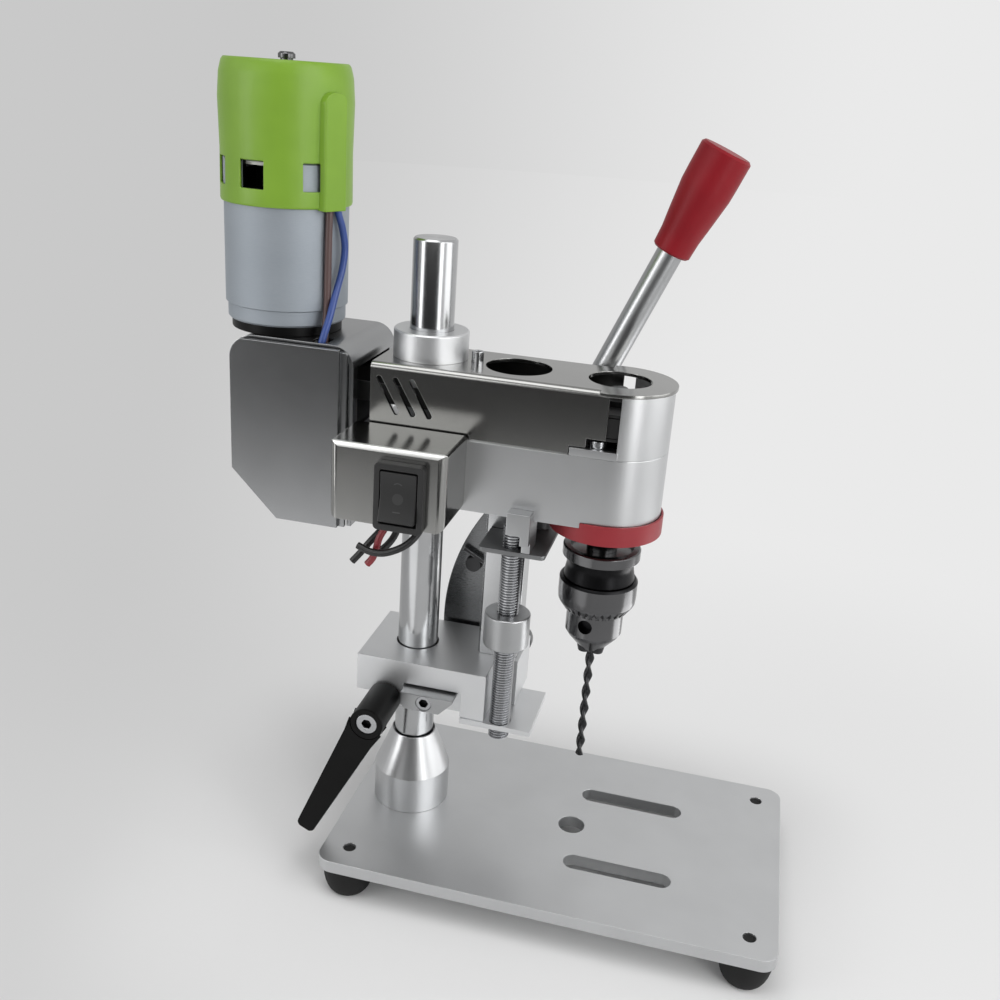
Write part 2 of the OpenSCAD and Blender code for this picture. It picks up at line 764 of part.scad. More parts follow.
module motor_end_cap() {
  color("black") translate([-motor_back, 0, bracket_top]) difference() {
    cylinder(r = cap_r, h = cap_t);
    translate([0, 0, -1]) cylinder(r = shaft_r + fit, h = cap_t + 2);
    for (s = [-1, 1]) translate([0, s * motor_screw_y, -1]) cylinder(r = small_r + fit, h = cap_t + 2);
  }
}

module motor_can() {
  low = bracket_top + cap_t;
  bore = shaft_r + fit;
  color("lightsteelblue") translate([-motor_back, 0, 0]) difference() {
    rotate_extrude() polygon([
      [bore, low], [motor_r - 1.6, low], [motor_r - 0.9, low + 0.8], [motor_r - 0.9, can_step_z - 0.4],
      [motor_r, can_step_z], [motor_r, can_top - 1], [motor_r - 1, can_top], [rim_r, can_top],
      [rim_r, can_top - rim_h], [bore, can_top - rim_h]]);
    for (s = [-1, 1]) translate([0, s * motor_screw_y, low - 1]) cylinder(r = small_r + fit, h = 5);
    // vents behind two of the cover's windows
    for (a = [window_angles[1], window_angles[1] + 180]) rotate(a)
      translate([15, -vent_hole_w / 2, can_top - window_h]) cube([motor_r, vent_hole_w, window_h + 1]);
  }
}
rim_r = motor_r - 2.2;
rim_h = 3;
vent_hole_w = 9;

// Half-section of the moulded fan cover: thin wall with a belly, a seat on the can and a flat top.
module fan_cover_section() {
  low = fan_cover_z;
  top = fan_cover_top;
  r = cover_d / 2;
  wall = cover_d / 2 - motor_r - 0.2;
  polygon([
    [r - wall, low], [r - 0.3, low], [r, low + 1], [r - 0.2, low + 20], [r + 0.3, low + 39],
    [r - 0.3, low + 48], [r - 1.3, top - 1.2], [r - 2.2, top], [shaft_r + 1.2, top],
    [shaft_r + 1.2, top - 1.6], [r - 3.2, top - 1.6], [r - 1.3 - wall, low + 46],
    [r + 0.3 - wall, low + 39], [r - wall, low + 20],
    [r - wall, can_top + 2], [r - wall - 3, can_top + 1.4], [r - wall - 3, can_top], [r - wall, can_top]]);
}

window_angles = [-142, -97, -41, 38, 83, 128, 173];
window_w = 10.2;
window_h = 10.6;

module motor_fan_cover() {
  color("yellowgreen") translate([-motor_back, 0, 0]) difference() {
    union() {
      rotate_extrude() fan_cover_section();
      // duct of the leads, with a rounded top
      rotate(rib_angle) difference() {
        intersection() {
          translate([motor_r - 4, -rib_w / 2, fan_cover_z - rib_low]) linear_extrude(rib_h + rib_low)
            round_rect(rib_out - motor_r + 4, rib_w, 1);
          translate([0, 0, fan_cover_z]) rotate([90, 0, 90]) linear_extrude(rib_out + 1)
            translate([-rib_w / 2, -8]) round_rect(rib_w, rib_h + 8, 4.5);
        }
        cylinder(r = cover_d / 2 - 0.6, h = fan_cover_top);
      }
    }
    // hollow of the duct, open below
    rotate(rib_angle) translate([motor_r - 1, -duct_w / 2, fan_cover_z - rib_low - 1])
      cube([rib_out - motor_r, duct_w, 26]);
    for (a = window_angles) rotate(a) translate([0, -window_w / 2, can_top - window_h - 0.1])
      cube([belly_r, window_w, window_h]);
  }
}

// Tube of eight sides swept along a smooth curve through a lead's points.
function unit(v) = v / norm(v);
function bend_at(p, i, t) =
  let (a = p[max(i - 1, 0)], b = p[i], c = p[i + 1], d = p[min(i + 2, len(p) - 1)])
  0.5 * (2 * b + (c - a) * t + (2 * a - 5 * b + 4 * c - d) * t * t + (3 * b - a - 3 * c + d) * t * t * t);
function route(p, steps) = concat(
  [for (i = [0:len(p) - 2]) for (k = [0:steps - 1]) bend_at(p, i, k / steps)], [p[len(p) - 1]]);
function ring(p, i, r, sides, start, side) =
  let (t = i == 0 ? start : unit(p[min(i + 1, len(p) - 1)] - p[i - 1]),
       u = unit(cross(side, t)), v = cross(t, u))
  [for (k = [0:sides - 1]) p[i] + r * (cos(360 * k / sides) * u + sin(360 * k / sides) * v)];

module lead(points, d, start = [0, 0, -1], side = [0, 1, 0], steps = 2, sides = 8) {
  p = route(points, steps);
  n = len(p);
  polyhedron(
    points = [for (i = [0:n - 1]) each ring(p, i, d / 2, sides, start, side)],
    faces = concat([[for (k = [0:sides - 1]) k]],
                   [for (i = [0:n - 2]) for (k = [0:sides - 1]) let (m = (k + 1) % sides)
                     [i * sides + k, (i + 1) * sides + k, (i + 1) * sides + m, i * sides + m]],
                   [[for (k = [sides - 1:-1:0]) (n - 1) * sides + k]]));
}

motor_lead_d = 2.9;
brown_points = [[-40, -12.6, 283], [-40, -12.6, 272], [-40.1, -13.1, 260], [-40.2, -13.3, 246], [-40.3, -13.5, 234],
                [-40.5, -14.1, 227], [-40.4, -15.6, 220.5], [-40.2, -16.2, 215], [-40.2, -16.2, 210]];
blue_points = [[-38.2, -9, 283], [-38.2, -9, 272], [-36.9, -6.8, 264], [-36.3, -5.3, 256], [-36.6, -7.2, 247.5],
               [-37.1, -11.8, 239.5], [-37.3, -15.2, 234], [-37.8, -17.2, 229.5], [-38.9, -19.6, 223.5],
               [-39.8, -20.9, 218], [-39.9, -21, 210]];

module motor_lead_brown() color("saddlebrown") lead(brown_points, motor_lead_d);
module motor_lead_blue() color("royalblue") lead(blue_points, motor_lead_d);

// Front of the switch box: sharp bends above and rounded corners below.
module box_face() {
  top_r = 1.5;
  translate([box_bend, 0]) square([box_w - 2 * box_bend, box_h]);
  translate([0, box_bend]) square([box_w, box_h - box_bend - top_r]);
  translate([top_r, box_bend]) square([box_w - 2 * top_r, box_h - box_bend]);
  for (x = [box_bend, box_w - box_bend]) translate([x, box_bend]) circle(box_bend);
  for (x = [top_r, box_w - top_r]) translate([x, box_h - top_r]) circle(top_r);
}

module switch_box() {
  wall = 1.5;
  color("silver") difference() {
    intersection() {
      sheet_y(box_near, -head_side - fit) translate([box_x, head_z]) box_face();
      translate([box_x, box_near, head_z - 1]) linear_extrude(box_h + 2)
        round_rect(box_w, box_d + box_bend, box_bend);
    }
    // open at the back and below
    translate([box_x + wall, box_near + wall, head_z - 1]) linear_extrude(box_h - wall + 1)
      round_rect(box_w - 2 * wall, box_d + box_bend, box_bend - wall);
    translate([frame_x - frame_w / 2 + 1.2, box_near - 1, frame_z - frame_h / 2 + 1.2])
      cube([frame_w - 2.4, 4, frame_h - 2.4]);
  }
}

module switch_frame() {
  body_w = frame_w - 3;
  color("black") difference() {
    union() {
      sheet_y(frame_near, box_near) translate([frame_x - frame_w / 2, frame_z - frame_h / 2])
        round_rect(frame_w, frame_h, 2);
      translate([frame_x - body_w / 2, box_near - eps, switch_body_z])
        cube([body_w, frame_near + pocket_depth + 2 - box_near, frame_h - 4]);
      translate([frame_x - body_w / 2, box_near, lead_start_z])
        cube([body_w, 14.5, frame_h - 4 - lead_start_z + switch_body_z]);
    }
    translate([frame_x - rocker_w / 2 - gap, frame_near - 1, frame_z - rocker_h / 2 - gap])
      cube([rocker_w + 2 * gap, pocket_depth + 1, rocker_h + 2 * gap]);
    translate([frame_x - body_w / 2, rocker_y, frame_z]) rotate([0, 90, 0])
      cylinder(r = rocker_pin_r + fit, h = body_w);
  }
}
frame_near = box_near - frame_out;
pocket_depth = 8;
rocker_w = frame_w - 5.5;
rocker_h = frame_h - 6;
rocker_y = frame_near + 5;
rocker_lean = 6;
rocker_pin_r = 1.2;

// Leads of the switch: each starts square to the underside or the back of the switch body.
red_points = [[-0.8, -39.6, 171.5], [-0.8, -39.6, 167.5], [-0.9, -39.9, 163.5], [-1.2, -41.4, 159.5],
              [-2.2, -43.8, 155.5], [-4.2, -45.4, 151], [-5.3, -46, 146], [-6.6, -46.2, 142], [-8.6, -46.6, 139.2]];
black_front_points = [[12, -39.6, 171.5], [12, -39.6, 167.5], [12.1, -40, 163.5], [12.2, -42, 159.5],
                      [12, -44.9, 156.3], [9.4, -47.4, 152.4], [5.2, -49, 149.2], [-0.8, -49.6, 146.6],
                      [-6.6, -49.4, 146.2], [-12, -48.8, 147.8]];
black_mid_points = [[3.4, -39.6, 171.5], [3.4, -39.6, 167], [3.2, -39.7, 162.5], [2.9, -40.4, 158.5],
                    [1.8, -41.1, 154], [0.2, -41.6, 150], [-2.6, -41.8, 146], [-6.2, -41.8, 142.6]];
black_back_points = [[-0.8, -35.8, 175], [-0.8, -33.2, 175], [-0.9, -30.3, 174.4], [-1, -28, 172.8],
                     [-1.1, -26.8, 170.2], [-1.2, -26.8, 167], [-1.3, -28.2, 163.3], [-1.8, -30.8, 159.4],
                     [-3.2, -34.2, 155.4], [-6, -37.6, 151.2], [-9.6, -40.4, 146.6], [-13, -42.4, 141.8],
                     [-16, -44, 138]];
module lead_red() color("firebrick") lead(red_points, lead_d);
module lead_black_front() color("black") lead(black_front_points, lead_d);
module lead_black_mid() color("black") lead(black_mid_points, lead_d);
module lead_black_back() color("black") lead(black_back_points, lead_d, [0, 1, 0], [1, 0, 0]);

// Outline of a belt round both pulleys: the two arcs that its straight runs are tangent to.
module belt_outline(extra) {
  r1 = motor_belt_r + extra;
  r2 = spindle_belt_r + extra;
  a = acos((r1 - r2) / (motor_back + reach));
  n = 24;
  polygon(concat(
    [for (i = [0:n]) let (t = a + (360 - 2 * a) * i / n) [-motor_back + r1 * cos(t), r1 * sin(t)]],
    [for (i = [0:n]) let (t = -a + 2 * a * i / n) [reach + r2 * cos(t), r2 * sin(t)]]));
}

module drive_belt() {
  color("black") translate([0, 0, belt_z]) linear_extrude(belt_w) difference() {
    belt_outline(belt_t);
    belt_outline(gap);
  }
}

module pulley(r, bore, hub_top) {
  flange = 1.2;
  rotate_extrude() polygon([
    [bore, belt_z - flange - gap], [r + belt_t - 0.2, belt_z - flange - gap], [r + belt_t - 0.2, belt_z - gap],
    [r, belt_z - gap], [r, belt_z + belt_w + gap], [r + belt_t - 0.2, belt_z + belt_w + gap],
    [r + belt_t - 0.2, belt_z + belt_w + gap + flange], [bore + 4, belt_z + belt_w + gap + flange],
    [bore + 4, hub_top], [bore, hub_top]]);
}

module spindle_pulley() {
  color("white") translate([reach, 0, 0]) pulley(spindle_belt_r, spindle_r + fit, belt_z + belt_w + 4);
}

module motor_pulley() {
  color("silver") translate([-motor_back, 0, 0]) pulley(motor_belt_r, shaft_r + fit, belt_z + belt_w + 4);
}

module spindle_bearings() {
  color("lightgray") for (z = [bearing_low_z, bearing_high_z]) translate([reach, 0, z]) difference() {
    cylinder(r = bearing_r, h = bearing_h);
    translate([0, 0, -1]) cylinder(r = spindle_r + fit, h = bearing_h + 2);
    for (k = [-1, bearing_h - 0.8]) translate([0, 0, k]) difference() {
      cylinder(r = bearing_r - 2, h = 1.8);
      cylinder(r = spindle_r + 2, h = 1.8);
    }
  }
}

module lever_pivot() {
  color("silver") difference() {
    union() {
      along_y(pivot_r, bar_near + bar_t + 1.6, lever_out + gap + eps, pivot_x, pivot_z);
      along_y(pivot_r + 3, lever_out + gap, lever_out + 4.4, pivot_x, pivot_z);
    }
    translate([pivot_x, lever_out + 4.4 + eps, pivot_z]) rotate([90, 0, 0]) cylinder(r = 2.6, h = 2.6, $fn = 6);
  }
}

module depth_nut() {
  c = 0.5;
  color("silver") translate([rod_x, -rod_y, nut_z]) rotate_extrude() polygon([
    [rod_d / 2 + fit, 0], [nut_d / 2 - c, 0], [nut_d / 2, c], [nut_d / 2, nut_h - c],
    [nut_d / 2 - c, nut_h], [rod_d / 2 + fit, nut_h]]);
}

// Cam slot: the block's pin, seen from the turning lever, for each share of the feed.
function seen_pin(share) =
  let (a = lever_turn * share, dx = cam_pin_x - pivot_x, dz = cam_pin_z - pivot_z + feed * share)
  [pivot_x + dx * cos(a) - dz * sin(a), pivot_z + dx * sin(a) + dz * cos(a)];
slot_a = seen_pin(0);
slot_b = seen_pin(0.5);
slot_c = seen_pin(1);
// Centre of the circle through three points of the slot's middle line
function cross_z(p, q) = p.x * q.y - p.y * q.x;
function circle_centre(a, b, c) =
  let (p = b - a, q = c - a, d = 2 * cross_z(p, q))
  a + [(q.y * (p * p) - p.y * (q * q)) / d, (p.x * (q * q) - q.x * (p * p)) / d];
slot_centre = circle_centre(slot_a, slot_b, slot_c);
slot_r = norm(slot_b - slot_centre);
slot_from = atan2(slot_a.y - slot_centre.y, slot_a.x - slot_centre.x);
slot_to = atan2(slot_c.y - slot_centre.y, slot_c.x - slot_centre.x);

// A curved stadium along the slot's middle line, thick from y0 to y1.
module slot_solid(r, y0, y1) {
  turn = slot_to - slot_from;
  translate([slot_centre.x, y1, slot_centre.y]) rotate([90, 0, 0]) rotate(slot_from)
    rotate_extrude(angle = turn) translate([slot_r - r, 0]) square([2 * r, y1 - y0]);
  for (p = [slot_a, slot_c]) along_y(r, y0, y1, p.x, p.y);
}

// Dark curved plate from the hub on the pivot down to the slotted foot on the block's pin.
module cam_plate() {
  bow = 98.4;
  bow_z = block_z + 24.5;
  inner = 148.3;
  outer_x = cam_pin_x - 8;
  inner_x = outer_x + 20;
  color("dimgray") difference() {
    union() {
      sheet_y(cam_y, cam_y + cam_t) intersection() {
        difference() {
          translate([outer_x + bow, bow_z]) circle(bow, $fn = 240);
          translate([inner_x + inner, bow_z]) circle(inner, $fn = 240);
        }
        translate([outer_x - 1, bow_z]) square([60, pivot_z - bow_z]);
      }
      sheet_y(cam_y, cam_y + cam_t) polygon([
        [outer_x, bow_z], [outer_x + 0.3, slot_a.y + 3], [inner_x + 4, slot_a.y + 3], [inner_x, bow_z]]);
      slot_solid(cam_edge_r, cam_y, cam_y + cam_t);
      along_y(11, head_side + gap, lever_out, pivot_x, pivot_z);
    }
    slot_solid(cam_slot_r, cam_y - 1, cam_y + cam_t + 1);
    along_y(pivot_r + fit, head_side, lever_out + 1, pivot_x, pivot_z);
    lever_axis() translate([0, 0, socket_from]) cylinder(r = lever_d / 2 + fit, h = 30);
    along_y(bumper_r + fit, cam_y - 1, cam_y + cam_t + 1, bumper_at.x, bumper_at.y);
  }
}
socket_from = 5;
bumper_r = 3.6;
bumper_at = [18.4, cam_pin_z + 44.4];

// Children stand on the lever's axis, which runs up and forward from the pivot.
module lever_axis() {
  translate([pivot_x, lever_y, pivot_z]) rotate([0, lever_tilt, 0]) children();
}

module lever_rod() {
  color("gainsboro") lever_axis() translate([0, 0, socket_from + fit])
    cylinder(d = lever_d, h = lever_l - socket_from - 12);
}

module lever_grip() {
  r = grip_d / 2;
  neck = r - 2.7;
  color("firebrick") lever_axis() translate([0, 0, lever_l - grip_l]) rotate_extrude() polygon([
    [lever_d / 2 + fit, 0], [neck - 0.8, 0], [neck, 0.8], [neck + 0.3, grip_l * 0.18], [neck + 1.2, grip_l * 0.34],
    [r - 0.7, grip_l * 0.5], [r - 0.1, grip_l * 0.62], [r, grip_l * 0.75], [r, grip_l - 1], [r - 1, grip_l],
    [0, grip_l], [0, grip_l - 12 + fit], [lever_d / 2 + fit, grip_l - 12 + fit]]);
}

// Bright lug over a black stop button on the cam plate, as two solids.
module stop_lug() {
  color("black") along_y(bumper_r, cam_y - 3, cam_y + cam_t, bumper_at.x, bumper_at.y);
  color("silver") translate([bumper_at.x, cam_y - 3, bumper_at.y + bumper_r + 1.2]) rotate([0, 29, 0])
    translate([-5.5, 0, -0.9]) cube([13, 3, 1.8]);
}

module spindle() {
  neck_top = head_z - 5.5;
  color("gray") translate([reach, 0, 0]) rotate_extrude() polygon([
    [0, chuck_top - 18], [4.6, chuck_top - 18], [5, chuck_top - 1.8], [6.5, chuck_top - 1.8], [6.5, chuck_top + 2.6],
    [13, neck_top - 0.5], [13, head_z - gap], [5.5, head_z - gap],
    [5.5, bearing_low_z - 0.02], [spindle_r, bearing_low_z - 0.02],
    [spindle_r, belt_z + belt_w + 7], [spindle_r - 0.8, belt_z + belt_w + 7.8], [0, belt_z + belt_w + 7.8]]);
}

// One jaw's bore leans outwards with height, and the drill's shank stands in the middle.
module jaw_place(i) {
  translate([reach, 0, nose_z]) rotate(i * 120 + 90) translate([drill_r + jaw_r * 0.62, 0, 0])
    rotate([0, jaw_tilt, 0]) children();
}

module chuck_body() {
  key_z = sleeve_z - 4.8;
  color("silver") difference() {
    translate([reach, 0, 0]) rotate_extrude() polygon([
      [drill_r + 0.6, nose_z], [drill_r + 3.2, nose_z], [nose_r - 1.2, nose_z + 6.6], [nose_r, nose_z + 8.6],
      [nose_r, sleeve_top], [chuck_r - 1.6, sleeve_top + gap], [chuck_r - 1.9, sleeve_top + 2.2],
      [chuck_r - 2.6, sleeve_top + 6], [chuck_r - 1.9, ring_z - 0.5], [chuck_r - 0.8, ring_z],
      [chuck_r - 0.3, ring_z + 0.5], [chuck_r - 0.3, chuck_top - 0.6], [chuck_r - 0.9, chuck_top],
      [chuck_r - 3.2, chuck_top], [chuck_r - 4.4, chuck_top - 1.8], [5.05, chuck_top - 1.8],
      [4.65, chuck_top - 18.05], [drill_r + 0.6, chuck_top - 18.05]]);
    for (i = [0:2]) jaw_place(i) translate([0, 0, -4]) cylinder(r = jaw_r + fit, h = jaw_l + jaw_travel + 4.6);
    for (i = [0:2]) translate([reach, 0, key_z]) rotate(i * 120 - 101) rotate([0, 90, 0])
      translate([0, 0, nose_r - 3.2]) cylinder(r = 3.1, h = 5);
  }
}

module chuck_sleeve() {
  pitch = 360 / chuck_teeth;
  color("gray") difference() {
    translate([reach, 0, 0]) rotate_extrude() polygon([
      [nose_r + 0.4, sleeve_z], [nose_r + 1.4, sleeve_z], [chuck_r - 0.7, sleeve_z + sleeve_chamfer],
      [chuck_r - 0.2, sleeve_z + sleeve_chamfer + 1], [chuck_r, sleeve_z + sleeve_chamfer + 4],
      [chuck_r, sleeve_top - 1], [chuck_r - 0.8, sleeve_top], [nose_r + 0.4, sleeve_top]]);
    for (i = [0:chuck_teeth - 1]) translate([reach, 0, sleeve_z + 0.6]) rotate(i * pitch)
      translate([nose_r + 1.2, 0, 0]) rotate([0, 52, 0]) rotate(45)
        cube([1.5, 1.5, 9], center = true);
  }
}

module chuck_jaw(i) {
  color("dimgray") intersection() {
    difference() {
      jaw_place(i) translate([0, 0, -3]) cylinder(r = jaw_r, h = jaw_l + 3);
      translate([reach, 0, nose_z - 5]) cylinder(r = drill_r + fit, h = 60);
    }
    // a third of the circle, so that the three jaws clear one another
    translate([reach, 0, nose_z - 1.6]) rotate(i * 120 + 90) translate([0.3, 0, 0]) linear_extrude(60)
      polygon([[0, 0], [15, -15 * tan(60)], [30, 0], [15, 15 * tan(60)]]);
  }
}
module chuck_jaw_1() chuck_jaw(0);
module chuck_jaw_2() chuck_jaw(1);
module chuck_jaw_3() chuck_jaw(2);

// Two-flute twist drill: a fluted section swept with twist, a point, and a plain shank.
module drill_bit() {
  fluted = drill_out + 2;
  land_r = drill_r - 0.08;
  section = [for (a = [0:22.5:359]) land_r * min(1, 0.4 + 0.75 * pow(cos(a), 2)) * [cos(a), sin(a)]];
  color("dimgray") translate([reach, 0, drill_tip]) {
    intersection() {
      linear_extrude(fluted, twist = -360 * fluted / drill_lead, slices = 40, segments = 16) polygon(section);
      cylinder(r1 = 0.05, r2 = (fluted + 1) * tan(59), h = fluted + 1, $fn = 48);
    }
    translate([0, 0, fluted - 0.5]) cylinder(r = drill_r, h = drill_top - drill_tip - fluted);
  }
}

module motor_shaft() {
  color("gainsboro") translate([-motor_back, 0, 0]) rotate_extrude() polygon([
    [0, belt_z - 2], [shaft_r, belt_z - 2], [shaft_r, fan_cover_top + 0.6], [shaft_r + 0.9, fan_cover_top + 0.6],
    [shaft_r + 0.9, fan_cover_top + 2.2], [shaft_r, fan_cover_top + 3], [0, fan_cover_top + 3]]);
}

// Its disc turns inside the can's rim.
module motor_fan() {
  blades = 7;
  disc_t = 1.4;
  disc_r = rim_r - 0.7;
  color("white") translate([-motor_back, 0, can_top - rim_h + 0.8]) difference() {
    union() {
      cylinder(r = 7, h = 10);
      for (i = [0:blades - 1]) rotate(i * 360 / blades)
        translate([0, -0.7, disc_t / 2]) cube([disc_r - 3, 1.4, 9]);
      cylinder(r = disc_r, h = disc_t);
    }
    translate([0, 0, -1]) cylinder(r = shaft_r + fit, h = 12);
  }
}

// Rocker with two faces that meet on its axis; it leans towards its lower end.
module switch_rocker() {
  half = rocker_h / 2 - 0.8;
  face = 5;
  rise = 1.6;
  hollow_r = 30;
  pin_l = gap + 0.7;
  color("black") translate([frame_x - rocker_w / 2, rocker_y, frame_z]) rotate([-rocker_lean, 0, 0])
    rotate([90, 0, 90]) {
      linear_extrude(rocker_w) difference() {
        polygon([[1.6, -half], [-face - rise, -half], [-face, 0], [-face - rise, half], [1.6, half]]);
        translate([-face - hollow_r, 0]) circle(hollow_r - 1.2, $fn = 120);
      }
      // pins that the rocker tilts on
      translate([0, 0, -pin_l]) cylinder(r = rocker_pin_r, h = rocker_w + 2 * pin_l, $fn = 32);
    }
}

placed() base_plate();
placed() rubber_feet();
placed() column_socket();
placed() column();
placed() column_bolt();
placed() height_bush();
placed() lift_block();
placed() clamp_jaw();
placed() clamp_jaw_screw();
placed() lower_bracket();
placed() block_screws();
placed() guide_bar();
placed() cam_pin();
placed() clamp_lever();
placed() clamp_stud();
placed() head_casting();
placed() column_sleeve();
placed() belt_cover();
placed() cover_pin();
placed() head_screws();
placed() front_shroud();
placed() red_ring();
placed() upper_bracket();
placed() rod_block();
placed() threaded_rod();
placed() motor_bracket();
placed() inner_plate();
placed() side_plate();
placed() bracket_screws();
placed() motor_end_cap();
placed() motor_can();
placed() motor_fan_cover();
placed() motor_lead_brown();
placed() motor_lead_blue();
placed() switch_box();
placed() switch_frame();
placed() lead_red();
placed() lead_black_front();
placed() lead_black_mid();
placed() lead_black_back();
placed() drive_belt();
placed() spindle_bearings();
placed() lever_pivot();
placed() depth_nut();
placed() cam_plate();
placed() lever_rod();
placed() lever_grip();
placed() stop_lug();
placed() spindle();
placed() spindle_pulley();
placed() chuck_body();
placed() drill_bit();
placed() chuck_sleeve();
placed() chuck_jaw_1();
placed() chuck_jaw_2();
placed() chuck_jaw_3();
placed() motor_shaft();
placed() motor_pulley();
placed() motor_fan();
placed() switch_rocker();
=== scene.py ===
# %% [markdown]
# # A mini drill press
# The press stands on a slotted aluminium plate. A belt head slides on a round column, a motor in a
# green cover drives it, and a hand lever with a red grip feeds the drill down.
# The CAD part is loaded first. It fixes every size and place, and each piece made here rides on one
# of its bodies, so that the joints still move.

import json
import math

import bmesh
import bpy
from mathutils import Matrix, Vector


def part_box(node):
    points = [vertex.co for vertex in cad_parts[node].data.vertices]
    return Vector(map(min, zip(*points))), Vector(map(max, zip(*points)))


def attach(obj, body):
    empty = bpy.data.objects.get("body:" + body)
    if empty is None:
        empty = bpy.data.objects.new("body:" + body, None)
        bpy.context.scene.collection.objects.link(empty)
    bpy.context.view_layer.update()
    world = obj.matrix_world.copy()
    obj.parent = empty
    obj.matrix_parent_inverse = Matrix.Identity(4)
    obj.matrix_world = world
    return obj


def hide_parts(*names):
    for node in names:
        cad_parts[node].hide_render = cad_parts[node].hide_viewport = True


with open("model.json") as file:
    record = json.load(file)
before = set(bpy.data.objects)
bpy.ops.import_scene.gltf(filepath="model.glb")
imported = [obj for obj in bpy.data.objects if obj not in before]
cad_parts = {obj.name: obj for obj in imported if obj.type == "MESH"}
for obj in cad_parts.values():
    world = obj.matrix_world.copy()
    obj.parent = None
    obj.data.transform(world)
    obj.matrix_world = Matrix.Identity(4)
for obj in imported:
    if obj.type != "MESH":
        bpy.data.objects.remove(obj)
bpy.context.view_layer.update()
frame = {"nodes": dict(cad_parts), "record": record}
record = frame["record"]
body_of_node = {node: body for body, nodes in record["behaviour"]["bodies"].items() for node in nodes}
slot_of_node = {part["node"]: part["material_slot"] for part in record["subparts"]}
MM = 0.001
X_MIDDLE = 42.45
PLATE_TOP = 21

# %% [markdown]
# Sizes on a drawing of the press start from the column's axis, at the top of the plate. This helper
# turns such a point, in millimetres, into metres in the frame of the CAD part.

# %% A point on the press
def press(x, y, z):
    return Vector(((x - X_MIDDLE) * MM, y * MM, (z + PLATE_TOP) * MM))


DRILL_AXIS = (79, 0)
print("drill axis at the plate:", press(*DRILL_AXIS, 0))

# %% [markdown]
# The camera stands where the photographer stood: to the right of the front, above the head, with a
# slight roll. Its angles and distance were worked out from the plate's corners and the column.

# %% Camera
CAMERA_SPOT = (0.08404, -0.42132, 0.34586)
CAMERA_TURN = (12.4425, 21.3113, 4.148)
CAMERA_LENS = 39.17
azimuth, elevation, roll = (math.radians(a) for a in CAMERA_TURN)
back = Vector((math.sin(azimuth) * math.cos(elevation), -math.cos(azimuth) * math.cos(elevation),
               math.sin(elevation)))
right = (-back).cross(Vector((0, 0, 1))).normalized()
up = right.cross(-back)
camera_x = right * math.cos(roll) + up * math.sin(roll)
camera_y = up * math.cos(roll) - right * math.sin(roll)
camera_data = bpy.data.cameras.new("camera")
camera_data.lens = CAMERA_LENS
camera_data.sensor_width = 36
camera = bpy.data.objects.new("camera", camera_data)
bpy.context.scene.collection.objects.link(camera)
camera.matrix_world = Matrix([(camera_x[k], camera_y[k], back[k], CAMERA_SPOT[k]) for k in range(3)] + [(0, 0, 0, 1)])
bpy.context.scene.camera = camera
print("camera at", [round(v, 3) for v in camera.location])

# %% [markdown]
# Operators act on whatever is selected, so every step starts by clearing the selection and taking
# one piece. In edit mode, faces and edges are then selected by their place or direction.

# %% Selecting helpers
def take(piece):
    if bpy.context.object and bpy.context.object.mode != "OBJECT":
        bpy.ops.object.mode_set(mode="OBJECT")
    bpy.ops.object.select_all(action="DESELECT")
    piece.select_set(True)
    bpy.context.view_layer.objects.active = piece


def edit(piece, mode="VERT", action="DESELECT"):
    take(piece)
    bpy.ops.object.mode_set(mode="EDIT")
    bpy.ops.mesh.select_mode(type=mode)
    bpy.ops.mesh.select_all(action=action)


def done():
    bpy.ops.object.mode_set(mode="OBJECT")


def flat_square(spot=(0, 0, 0)):
    """A square of one metre on the floor's plane."""
    bpy.ops.object.select_all(action="DESELECT")
    bpy.ops.mesh.primitive_plane_add(size=1, location=spot)
    return bpy.context.object


def blank():
    """An object with an empty mesh, in edit mode, and that mesh to draw in."""
    piece = flat_square()
    edit(piece, action="SELECT")
    bpy.ops.mesh.delete(type="VERT")
    return piece, bmesh.from_edit_mesh(piece.data)


def modify(piece, kind, **settings):
    """Adds a modifier with its settings and applies it."""
    take(piece)
    modifier = piece.modifiers.new(kind.lower(), kind)
    for name, value in settings.items():
        setattr(modifier, name, value)
    bpy.ops.object.modifier_apply(modifier=modifier.name)


def settle(piece, name, node, smooth=30):
    """Puts a finished piece on its body: place in the mesh, object at the origin, smooth shading."""
    take(piece)
    piece.name = name
    bpy.ops.object.transform_apply(location=True, rotation=True, scale=True)
    bpy.ops.object.shade_smooth_by_angle(angle=math.radians(smooth))
    modify(piece, "WEIGHTED_NORMAL", mode="FACE_AREA", keep_sharp=True)
    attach(piece, body_of_node[node])
    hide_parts(node)
    made[node] = piece
    return piece


made = {}

# %% [markdown]
# The switch's four leads are cut short and hang free below its box, and the motor's two go from the
# green cover into the bracket. A lead is a fixed length of soft PVC wire, so each is one smooth curve
# with a round section. Their routes are the ones that the CAD part's plain tubes follow.

